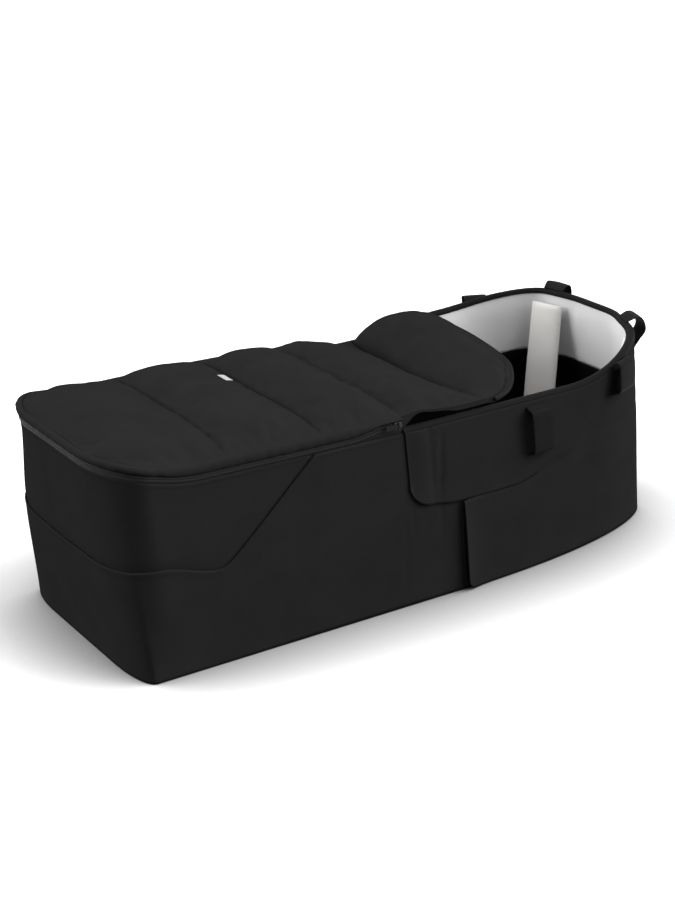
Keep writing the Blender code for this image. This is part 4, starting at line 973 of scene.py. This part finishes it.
def cover_grid():
    """x, share across and y of the cover's fine grid."""
    share = np.concatenate([side_stations(1, RIM[0], HINGE_X, 0.0035)[0][:-1],
                            (np.linspace(HINGE_X, FOLD_X - HINGE_GAP, 130) - RIM[0]) / (RIM[1] - RIM[0])])
    edge, normal = place(RIM, share, np.ones_like(share))
    inner = edge - normal * (COVER_INSET - 0.0004)
    across = np.sin(0.5 * math.pi * np.linspace(-1.0, 1.0, 101))
    across = mix(np.linspace(-1.0, 1.0, 101), across, 0.6)
    x = inner[:, :1] + np.zeros((1, len(across)))
    y = inner[:, 1:] * across[None, :]
    return x, across[None, :] + np.zeros_like(x), y


UP = np.array([0.0, 0.0, 1.0])
STITCH_INSET, TAG_MARGIN = 0.0016, 0.006


def build_cover():
    """The padded, quilted foot cover as one cloth form across its hinge seam."""
    x, across, y = cover_grid()
    top = cover_top(x, across, y)
    thick = mix(0.0034, 0.0070, 1.0 - np.abs(across) ** 4)
    thick = thick + 0.0035 * smoothstep((x - 0.040) / 0.030)
    thick = thick + 0.0120 * bell(x, ZIP_END_X + 0.004, 0.013) * smoothstep((np.abs(across) - 0.93) / 0.05)
    bottom = cover_height(x, across) - thick
    held = np.abs(across) > 0.975
    for line in (*SEAM_XS, FOLD_X, COVER_ENDS[0]):
        held |= np.abs(x - line) < 0.0040
    low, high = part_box("label")
    by_tag = (x > low.x - SHIFT - TAG_MARGIN) & (x < high.x - SHIFT + TAG_MARGIN)
    held |= by_tag & (y > low.y - TAG_MARGIN) & (y < high.y + TAG_MARGIN)
    top = top + swollen("cover_trial", x, y, top, bottom, held, *COVER_PADDING)
    closed_form("foot_cover", x, y, top, bottom, COVER, COVER_BEND, ("rear_cover", "front_cover"))


def build_cover_stitches():
    """Two rows of thread along each seam of the cover."""
    line = np.linspace(-0.985, 0.985, 260)
    ys = line * COVER_HALF
    for index, seam_x in enumerate(SEAM_XS):
        for offset, word in ((-STITCH_INSET, "a"), (STITCH_INSET, "b")):
            xs = np.full_like(line, seam_x + offset)
            path = warp(np.stack([xs + SHIFT, ys, cover_top(xs, line, ys) + 0.0001], -1), np.ones_like(xs))
            sewn_stitches(f"cover_stitches_{index}{word}", path, np.tile(UP, (len(line), 1)), THREAD,
                          COVER_BEND)


def swollen(name, x, y, top, bottom, held, pressure, slack, most):
    """How far the upper cloth of a padded form rises at each grid point, from a cloth simulation."""
    rows, columns = (np.unique(np.r_[np.arange(0, size, 2), size - 1]) for size in x.shape)
    pick = np.ix_(rows, columns)
    high, low = (np.stack([x[pick], y[pick], level[pick]], -1) for level in (top, bottom))
    count, wide = high.shape[:2]
    points = np.concatenate([high.reshape(-1, 3), low.reshape(-1, 3)])
    trial = with_normals(mesh_object(name, points, pillow_faces(count, wide), COVER))
    pins = trial.vertex_groups.new(name="held")
    fixed = held[pick]
    fixed[0], fixed[-1], fixed[:, 0], fixed[:, -1] = True, True, True, True
    below = list(range(count * wide, 2 * count * wide))
    pins.add([int(i) for i in np.flatnonzero(fixed)] + below, 1.0, "ADD")
    after = simulated(trial, pressure, slack)[:count * wide].reshape(count, wide, 3)
    rise = np.clip(after[..., 2] - high[..., 2], -most, most)
    half = np.array([np.interp(np.arange(x.shape[0]), rows, rise[:, j]) for j in range(wide)]).T
    full = np.array([np.interp(np.arange(x.shape[1]), columns, half[i]) for i in range(x.shape[0])])
    for axis in (0, 1):
        spread = np.concatenate([full.take([0], axis), full, full.take([-1], axis)], axis)
        size = full.shape[axis]
        before, behind = spread.take(range(size), axis), spread.take(range(2, size + 2), axis)
        full = 0.25 * before + 0.5 * full + 0.25 * behind
    return full


def simulated(trial, pressure, slack):
    """Points of a pinned pillow after its cloth has been blown up; the pillow is removed."""
    modifier = trial.modifiers.new("padding", "CLOTH")
    settings = modifier.settings
    settings.quality = 6
    settings.mass = 0.2
    settings.tension_stiffness = settings.compression_stiffness = 12.0
    settings.shear_stiffness = 5.0
    settings.bending_stiffness = 0.3
    settings.vertex_group_mass = "held"
    settings.use_pressure = True
    settings.uniform_pressure_force = pressure
    settings.shrink_min = -slack
    settings.effector_weights.gravity = 0.0
    modifier.collision_settings.use_collision = False
    scene = bpy.context.scene
    modifier.point_cache.frame_start, modifier.point_cache.frame_end = 1, SIM_FRAMES
    for frame_number in range(1, SIM_FRAMES + 1):
        scene.frame_set(frame_number)
    shape = trial.evaluated_get(bpy.context.evaluated_depsgraph_get()).data
    after = np.empty(len(shape.vertices) * 3)
    shape.vertices.foreach_get("co", after)
    mesh = trial.data
    bpy.data.objects.remove(trial)
    bpy.data.meshes.remove(mesh)
    scene.frame_set(1)
    return after.reshape(-1, 3)


def closed_form(name, x, y, top, bottom, material, body, nodes, rise=1.0):
    """A closed padded form over a grid of plan points."""
    upper, lower = (warp(np.stack([x + SHIFT, y, level], -1), np.full_like(x, rise)).reshape(-1, 3)
                    for level in (top, bottom))
    piece = with_normals(mesh_object(name, np.concatenate([upper, lower]), pillow_faces(*x.shape), material))
    attach(piece, body, nodes)


def build_tag():
    """The small bare tag sewn on the cover."""
    low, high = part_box("label")
    xs = np.linspace(low.x, high.x, 7) - SHIFT
    ys = np.linspace(low.y, high.y, 13)
    x, y = np.meshgrid(xs, ys, indexing="ij")
    top = cover_top(x, y / COVER_HALF, y) + 0.0011
    closed_form("cover_tag", x, y, top, top - 0.0007, TAG, "cover", ("label",))


# Wind flap

def flap_reach(across):
    """How far the wind flap reaches beyond the fold."""
    return FLAP_REACH * (1.0 - np.abs(across) ** 2.2) ** 0.5


def flap_height(share, across):
    """Top of the wind flap: it curls up beyond the fold, most on the far side."""
    edge = NEAR_CURL * smoothstep((across + 0.95) / 0.42) + FAR_CURL * smoothstep((across + 0.45) / 1.35)
    edge = RIM_HEIGHT + FOLD_OVER_RIM + edge * (1.0 - np.abs(across) ** 14)
    share = np.clip(share, 0.0, 1.0)
    steep = mix(0.85, 0.48, smoothstep((across + 0.1) / 0.9))
    rise = np.sin(0.5 * math.pi * share) ** steep
    dome = np.sin(math.pi * share) * (1.0 - across ** 2)
    return mix(fold_height(across), edge, rise) + 0.006 * dome


FLAP_SPAN, FLAP_THICK, FLAP_ROWS = 0.985, 0.0075, (0.0058, 0.0088)
FLAP_LINE = FLAP_SPAN * np.sin(0.5 * math.pi * np.linspace(-1.0, 1.0, 97))
BOUND_RADIUS, BOUND_OUT, BOUND_LOW, BOUND_SIDES = 0.0030, 0.0014, 0.00225, 12


def build_flap():
    """The padded wind flap."""
    share, across = np.meshgrid(np.linspace(0.0, 1.0, 49), FLAP_LINE, indexing="ij")
    x = FOLD_X + HINGE_GAP + flap_reach(across) * share
    y = across * FLAP_HALF
    slack = ripple(x * 34.0, y * 22.0, 61, octaves=3)
    pucker = ripple(across * 70.0, share * 4.0, 63, octaves=3)
    edge = np.exp(-(1.0 - share) * flap_reach(across) / 0.012)
    top = flap_height(share, across) + 0.0011 * slack * np.sin(math.pi * share) + 0.0004 * pucker * edge
    from_edge = (1.0 - share) * flap_reach(across)
    inner_row, outer_row = bell(from_edge, FLAP_ROWS[1], 0.0010), bell(from_edge, FLAP_ROWS[0], 0.0008)
    top = top - 0.0012 * inner_row - 0.0010 * outer_row
    top = top - 0.0045 * np.exp(-(x - FOLD_X) / 0.0040)
    bottom = flap_height(share, across) - FLAP_THICK
    held = (from_edge < 0.011) | (x - FOLD_X < 0.006)
    top = top + swollen("flap_trial", x, y, top, bottom, held, *FLAP_PADDING)
    closed_form("wind_flap_cloth", x, y, top, bottom, COVER, "flap", ("wind_flap",))


def build_flap_edge():
    """The tape bound round the wind flap's edge, and two rows of stitches inside it."""
    line = []
    for value in np.sin(0.5 * math.pi * np.linspace(-1.0, 1.0, 161)) * FLAP_SPAN:
        ahead = flap_reach(np.minimum(value + 0.004, 0.9999)) - flap_reach(np.maximum(value - 0.004, -0.9999))
        outward = Vector((0.008 * FLAP_HALF, -float(ahead), 0.0)).normalized()
        line.append((FOLD_X + HINGE_GAP + float(flap_reach(value)) + outward.x * BOUND_OUT + SHIFT,
                     float(value) * FLAP_HALF + outward.y * BOUND_OUT,
                     float(flap_height(np.array(1.0), value)) - BOUND_LOW))
    bound_edge("wind_flap_tape", np.array(line), COVER, "flap", "flap_binding")
    for inset, word in zip(FLAP_ROWS, "ab"):
        shares = 1.0 - inset / flap_reach(FLAP_LINE)
        xs = FOLD_X + HINGE_GAP + flap_reach(FLAP_LINE) * shares
        tops = flap_height(shares, FLAP_LINE) - 0.0008
        path = np.stack([xs + SHIFT, FLAP_LINE * FLAP_HALF, tops], -1)[shares > 0.25]
        sewn_stitches("flap_stitches_" + word, path, np.tile(UP, (len(path), 1)), THREAD, "flap")


def bound_edge(name, path, material, body, nodes):
    """A round bound edge along a path."""
    tangent = np.gradient(path, axis=0)
    tangent /= np.linalg.norm(tangent, axis=1, keepdims=True)
    across = np.cross(tangent, UP)
    across /= np.linalg.norm(across, axis=1, keepdims=True)
    up = np.cross(across, tangent)
    turns = 2.0 * np.pi * np.arange(BOUND_SIDES) / BOUND_SIDES
    swell = 1.0 + 0.05 * ripple(run_of(path)[:, None] * 500.0, turns[None, :], 71, octaves=2)
    points = path[:, None, :] + BOUND_RADIUS * swell[..., None] * (
        across[:, None, :] * np.cos(turns)[None, :, None] + up[:, None, :] * np.sin(turns)[None, :, None])
    attach(swept(name, points, material), body, nodes)


# Webbing loops

SIDE_LOOP_X, SIDE_LOOP = 0.1835, (0.236, 0.168)
HEAD_LOOP_X, HEAD_LOOP = 0.329, (0.001, 0.050)
CORNER_LOOP_X, CORNER_LOOP = 0.412, (0.007, 0.036)
STRAP, STRAP_WIDTH, STAND_OFF, SEWN = 0.0018, 0.032, 0.013, 0.008
SEAT = -OVERLAY_DEPTH + 0.0003 + 0.5 * STRAP


def smooth_path(path, count):
    """A Catmull-Rom curve through path points, evenly spaced."""
    points = np.array(path, float)
    padded = np.concatenate([2 * points[:1] - points[1:2], points, 2 * points[-1:] - points[-2:-1]])
    fine = []
    for i in range(len(points) - 1):
        a, b, c, d = padded[i:i + 4]
        for t in np.linspace(0.0, 1.0, 12, endpoint=False):
            fine.append(0.5 * (2 * b + (c - a) * t + (2 * a - 5 * b + 4 * c - d) * t * t
                               + (3 * b - a - 3 * c + d) * t ** 3))
    fine = np.array(fine + [points[-1]])
    run = run_of(fine)
    at = np.linspace(0.0, run[-1], count)
    return np.stack([np.interp(at, run, fine[:, 0]), np.interp(at, run, fine[:, 1])], -1)


def strap_loop(name, node, x, side, path):
    """A webbing strap, swept along its path and lying across its width on the wall."""
    line = smooth_path(path, 44)
    tangent = np.gradient(line, axis=0)
    tangent /= np.linalg.norm(tangent, axis=1, keepdims=True)
    across = np.stack([-tangent[:, 1], tangent[:, 0]], -1)
    length = RIM[1] - RIM[0]
    centre = (x - RIM[0]) / length
    half = 0.5 * STRAP_WIDTH / length
    if x > RIM[1] - RIM[4][0]:
        half *= max(abs(float(outline(RIM, np.array([centre]))[3][0])), 0.2)
    rim = float(rim_of((np.array([centre]), np.array([float(side)])))[0])
    rows = []
    for width in np.linspace(-1.0, 1.0, 13):
        selvedge = 1.0 - 0.35 * np.abs(width) ** 8
        front, back = (line + sign * across * 0.5 * STRAP * selvedge for sign in (1.0, -1.0))
        ring = np.concatenate([front, back[::-1]])
        station = (np.array([centre + half * width]), np.array([float(side)]))
        rows.append(wall(station, (rim + ring[:, 0])[None, :], -ring[:, 1][None, :])[0])
    attach(swept(name, np.array(rows), WEBBING_DARKENED_AS_SHADE), "shell", node)


def build_loops():
    """Three pairs of webbing loops."""
    out = SEAT + STAND_OFF
    end = 0.5 * STAND_OFF
    rim = float(rim_height(np.array(SIDE_LOOP_X)))
    top, bottom = SIDE_LOOP[0] - rim, SIDE_LOOP[1] - rim
    side_path = [(top, SEAT), (top - 0.4 * SEWN, SEAT + 0.6 * end), (top - SEWN, out),
                 (mix(top, bottom, 0.5), out + 0.2 * end), (bottom + SEWN, out),
                 (bottom + 0.4 * SEWN, SEAT + 0.6 * end), (bottom, SEAT)]
    turn_height = HEAD_LOOP[0] - end
    head_bottom = HEAD_LOOP[0] - HEAD_LOOP[1]
    head_path = [(-BINDING_DEPTH, SEAT)]
    head_path += [(turn_height + end * math.sin(turn), SEAT + end * (1.0 - math.cos(turn)))
                  for turn in np.linspace(0.0, math.pi, 5)]
    head_path += [(mix(turn_height, head_bottom, 0.5), out + 0.2 * end), (head_bottom + SEWN, out),
                  (head_bottom + 0.4 * SEWN, SEAT + 0.6 * end), (head_bottom, SEAT)]
    rest = 0.0003 + 0.5 * STRAP
    rise, drop = CORNER_LOOP
    corner_path = [(rest, -0.5 * INNER_LEG_DEPTH), (rest + 0.5 * rise, rest), (rise, 0.5 * out),
                   (0.6 * rise, out), (-0.3 * drop, out + 0.4 * end), (-0.7 * drop, SEAT + end),
                   (-drop, SEAT), (-drop - SEWN, SEAT)]
    for side, word in SIDES:
        for kind, x, path in (("side", SIDE_LOOP_X, side_path), ("head", HEAD_LOOP_X, head_path),
                              ("corner", CORNER_LOOP_X, corner_path)):
            strap_loop(f"{word}_{kind}_webbing", f"{word}_{kind}_loop", x, side, path)


# Padded stays

NEAR_STAY_LEAN = 0.012
STAY_WIDTH, STAY_THICK, STAY_BEND = 0.050, 0.008, 0.012


def stay_frame(side, word):
    """Hinge, axis, direction up the stay, its face, its outward side and its length."""
    joint = next(joint for joint in frame["joints"] if joint["name"] == word + "_stay_hinge")
    hinge, axis = Vector(joint["pos_m"]), Vector(joint["axis"]).normalized()
    co = np.array([vert.co for vert in frame["nodes"][word + "_stay"].data.vertices])
    rise = Vector(co[np.argsort(co[:, 2])[-8:]].mean(0)) - hinge
    rise -= axis * rise.dot(axis)
    length = rise.length - 0.001
    rise.normalize()
    face = rise.cross(axis).normalized()
    outward = face if face.dot(Vector((1.0, side, 0.0))) > 0.0 else -face
    return hinge, axis, rise, face, outward, length


def stay_ring(centre, axis, face, level, length, side):
    """One section of a stay: plump in the middle, thin at its edges, its top and its hinge."""
    pinch = 1.0 - 0.45 * float(bell(np.array(level), 0.001, 0.006))
    ends = min(1.0, max(0.0, (length - level) / 0.004)) ** 0.5
    across = np.linspace(-1.0, 1.0, 19)
    ring = []
    for sign in (1.0, -1.0):
        for value in across[::int(sign)]:
            plump = (1.0 - abs(value) ** 3.5) ** 0.6
            wave = 1.0 + 0.10 * float(ripple(np.array(level * 90.0), np.array(value * 3.0), 81 + side))
            half = 0.5 * STAY_THICK * (0.30 + 0.70 * plump * wave * max(ends, 0.35)) * pinch
            ring.append(tuple(centre + axis * (0.5 * STAY_WIDTH * value * 0.985)
                              + face * sign * min(half, 0.5 * STAY_THICK)))
    return ring


def build_stays():
    """White padded straps in the head corners, each bending at its sewn hinge."""
    for side, word in SIDES:
        hinge, axis, rise, face, outward, length = stay_frame(side, word)
        lean = NEAR_STAY_LEAN if side < 0 else 0.0
        low = BOARD_TOP + 0.0006 - hinge.z
        rings = []
        for level in np.concatenate([np.linspace(low, 0.0, 18)[:-1], np.linspace(0.0, length, 54)]):
            along = rise if level > 0.0 else Vector(UP)
            centre = hinge + along * level + outward * lean * max(level, 0.0) / length
            rings.append(stay_ring(centre, axis, face, level, length, side))
        grid = np.array(rings)
        grid = warp(grid, grid[..., 2] / rim_height(grid[..., 0] - SHIFT))
        bend = ("shell", word + "_stay", tuple(hinge - Vector(UP) * STAY_BEND),
                tuple(hinge + rise * STAY_BEND))
        piece = attach(swept(word + "_corner_strap", grid, STAY), bend, (word + "_stay", word + "_stay_post"))
        for value, tag in ((-0.86, "a"), (0.86, "b")):
            path = np.array([tuple(hinge + rise * level + axis * (0.5 * STAY_WIDTH * value) - face * 0.0026
                                   + outward * lean * level / length)
                             for level in np.linspace(0.016, length - 0.006, 60)])
            path = warp(path, path[:, 2] / rim_height(path[:, 0] - SHIFT))
            sewn_stitches(f"{word}_strap_stitches_{tag}", path, np.tile(-np.array(face), (len(path), 1)),
                          WHITE_THREAD, word + "_stay")


# Mattress and base

MATTRESS_TOP, MATTRESS_CROWN, MATTRESS_ROUND = 0.0482, 0.007, 0.012
MATTRESS_CORNERS = ((0.060, 0.060), (0.160, 0.130))


def build_mattress():
    """The mattress with a rounded edge and a soft crown."""
    low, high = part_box("mattress")
    share = 0.5 - 0.5 * np.cos(np.pi * np.linspace(0.0, 1.0, 56))
    shape = (low.x - SHIFT, high.x - SHIFT, high.y, *MATTRESS_CORNERS)
    xs, half, _, _ = outline(shape, share)
    across = np.sin(0.5 * np.pi * np.linspace(-1.0, 1.0, 41))
    x = xs[:, None] + np.zeros((1, len(across)))
    y = half[:, None] * across[None, :]
    crown = (1.0 - across[None, :] ** 4) * (1.0 - (2.0 * share[:, None] - 1.0) ** 4)
    edge = np.minimum(half[:, None] - np.abs(y), np.minimum(x - shape[0], shape[1] - x))
    drop = MATTRESS_ROUND * (1.0 - np.clip(edge / MATTRESS_ROUND, 0.0, 1.0)) ** 2
    slack = ripple(x * 24.0, y * 24.0, 91, octaves=4)
    top = MATTRESS_TOP + MATTRESS_CROWN * crown - drop + 0.0008 * slack * np.clip(edge / 0.02, 0.0, 1.0)
    bottom = np.full_like(top, low.z)
    top = top + swollen("mattress_trial", x, y, top, bottom, edge < 0.010, *MATTRESS_PADDING)
    closed_form("mattress_pad", x, y, top, bottom, MATTRESS, "shell", ("mattress",),
                rise=0.0)


BASE_SECTION = ((0.030, 0.0), (0.006, 0.0), (0.0016, 0.0002), (0.0, 0.0012), (0.0002, 0.0017),
                (0.004, 0.0018), (0.030, 0.0018))


def build_base():
    """The coated base cloth with its seam allowance, under the board."""
    loop = full_loop(COARSE)
    points = np.stack([wall(loop, np.full((len(loop[0]), 1), height), depth)[:, 0]
                       for depth, height in BASE_SECTION], 1)
    rows, columns = points.shape[:2]
    faces = grid_faces(rows, columns, True).tolist()
    faces.append([i * columns for i in range(rows)])
    faces.append([i * columns + columns - 1 for i in reversed(range(rows))])
    piece = with_normals(mesh_object("base_cloth", points.reshape(-1, 3), faces, BASE_CLOTH))
    attach(piece, "shell", "base_skin")


def dress_nodes():
    """Better materials on the rigid nodes that stay."""
    finishes = {"slider": STEEL, "puller": PULLER, "base_board": BOARD}
    for name, node in frame["nodes"].items():
        for key, material in finishes.items():
            if key in name:
                node.data.materials.clear()
                node.data.materials.append(material)


# Light, floor and camera

FLOOR_SEEN, FLOOR_LIT = 1.30, 0.14
# Reach and power of the painted shade that ambient occlusion lays on the floor round the cot
FLOOR_SHADE_REACH, FLOOR_SHADE_POWER = 0.16, 1.35
WORLD_LIGHT = 0.18
LAMP_DISTANCE = 3.0
LAMPS = (("top", (0.22, -0.05, 1.0), 120.0, 1.25), ("left", (-0.74, 0.67, 0.28), 60.0, 3.60),
         ("right", (0.82, -0.52, 0.26), 45.0, 2.20), ("key", (0.44, -0.58, 0.70), 45.0, 1.50))


def seen_only(tree, seen, lit):
    """A shader that the camera and reflections see one way and diffuse light another."""
    ray = tree.nodes.new("ShaderNodeLightPath").outputs
    direct = maths(tree, "MAXIMUM", maths(tree, "MAXIMUM", ray["Is Camera Ray"], ray["Is Glossy Ray"]),
                   ray["Is Transmission Ray"])
    both = tree.nodes.new("ShaderNodeMixShader")
    for socket, output in zip(both.inputs, (direct, lit.outputs[0], seen.outputs[0])):
        tree.links.new(output, socket)
    return both


def build_floor():
    """A floor that is white to the camera but for the cot's own shadow, deepened near the cot by painted
    shade from ambient occlusion.
    """
    bpy.ops.mesh.primitive_plane_add(size=30.0, location=(0.0, 0.0, -0.0002))
    floor = bpy.context.object
    floor.name = "floor"
    material = bpy.data.materials.new("floor")
    material.use_nodes = True
    tree = material.node_tree
    tree.nodes.clear()
    seen = tree.nodes.new("ShaderNodeBsdfDiffuse")
    # Painted shade: the floor's colour as the camera sees it darkens with ambient occlusion near the cot
    close = add_node(tree, "ShaderNodeAmbientOcclusion", Distance=FLOOR_SHADE_REACH)
    depth = maths(tree, "POWER", close.outputs["AO"], FLOOR_SHADE_POWER)
    tree.links.new(maths(tree, "MULTIPLY", depth, FLOOR_SEEN), seen.inputs["Color"])
    lit = add_node(tree, "ShaderNodeBsdfDiffuse", Color=(FLOOR_LIT, FLOOR_LIT, FLOOR_LIT, 1.0))
    out = tree.nodes.new("ShaderNodeOutputMaterial")
    tree.links.new(seen_only(tree, seen, lit).outputs[0], out.inputs["Surface"])
    floor.data.materials.append(material)


def build_stage():
    """Floor, white surround and soft light from both sides and above."""
    build_floor()
    world = bpy.data.worlds.new("surround")
    bpy.context.scene.world = world
    world.use_nodes = True
    tree = world.node_tree
    tree.nodes.clear()
    shades = [add_node(tree, "ShaderNodeBackground", Color=(1.0, 1.0, 1.0, 1.0), Strength=strength)
              for strength in (1.0, WORLD_LIGHT)]
    out = tree.nodes.new("ShaderNodeOutputWorld")
    tree.links.new(seen_only(tree, *shades).outputs[0], out.inputs[0])
    for name, towards, spread, strength in LAMPS:
        lamp = bpy.data.lights.new(name, "SUN")
        lamp.angle = math.radians(spread)
        lamp.energy = strength
        light = bpy.data.objects.new(name, lamp)
        bpy.context.scene.collection.objects.link(light)
        light.location = Vector(towards) * LAMP_DISTANCE
        light.rotation_mode = "QUATERNION"
        light.rotation_quaternion = (-Vector(towards)).to_track_quat("-Z", "Y")


# The photograph's camera: azimuth, elevation and roll in degrees, its distance, where it aims, and its lens
CAMERA_TURNS = (-31.1953, 21.5345, -2.0015)
DISTANCE, ASIDE, ABOVE, AIM_HEIGHT = 2.6377, -0.0148, 0.0382, 0.12
FOCAL_PIXELS, LONG_PIXELS, SENSOR = 1954.445, 900.0, 36.0


def build_camera():
    """The photograph's camera: where it stands, how it is turned and its lens."""
    azimuth, elevation, roll = (math.radians(turn) for turn in CAMERA_TURNS)
    back = Vector((math.sin(azimuth) * math.cos(elevation), -math.cos(azimuth) * math.cos(elevation),
                   math.sin(elevation)))
    right = (-back).cross(Vector((0.0, 0.0, 1.0))).normalized()
    up = right.cross(-back)
    right, up = right * math.cos(roll) + up * math.sin(roll), up * math.cos(roll) - right * math.sin(roll)
    target = Vector((SHIFT, 0.0, AIM_HEIGHT)) + right * ASIDE + up * ABOVE
    data = bpy.data.cameras.new("camera")
    data.lens = FOCAL_PIXELS / LONG_PIXELS * SENSOR
    data.sensor_width = SENSOR
    camera = bpy.data.objects.new("camera", data)
    bpy.context.scene.collection.objects.link(camera)
    turn = Matrix((right, up, back)).transposed()
    camera.rotation_mode = "QUATERNION"
    camera.rotation_quaternion = turn.to_quaternion()
    camera.location = target + back * DISTANCE
    bpy.context.scene.camera = camera
    bpy.context.scene.view_settings.view_transform = "Standard"


build_skin()
build_head_flap()
build_head_wrap()
build_slit_painted_shade()
build_linings()
build_binding()
build_lower_tape()
build_coils()
build_piping()
build_stiffeners()
build_cover()
build_cover_stitches()
build_tag()
build_flap()
build_flap_edge()
build_loops()
build_stays()
build_mattress()
build_base()
dress_nodes()
build_stage()
build_camera()
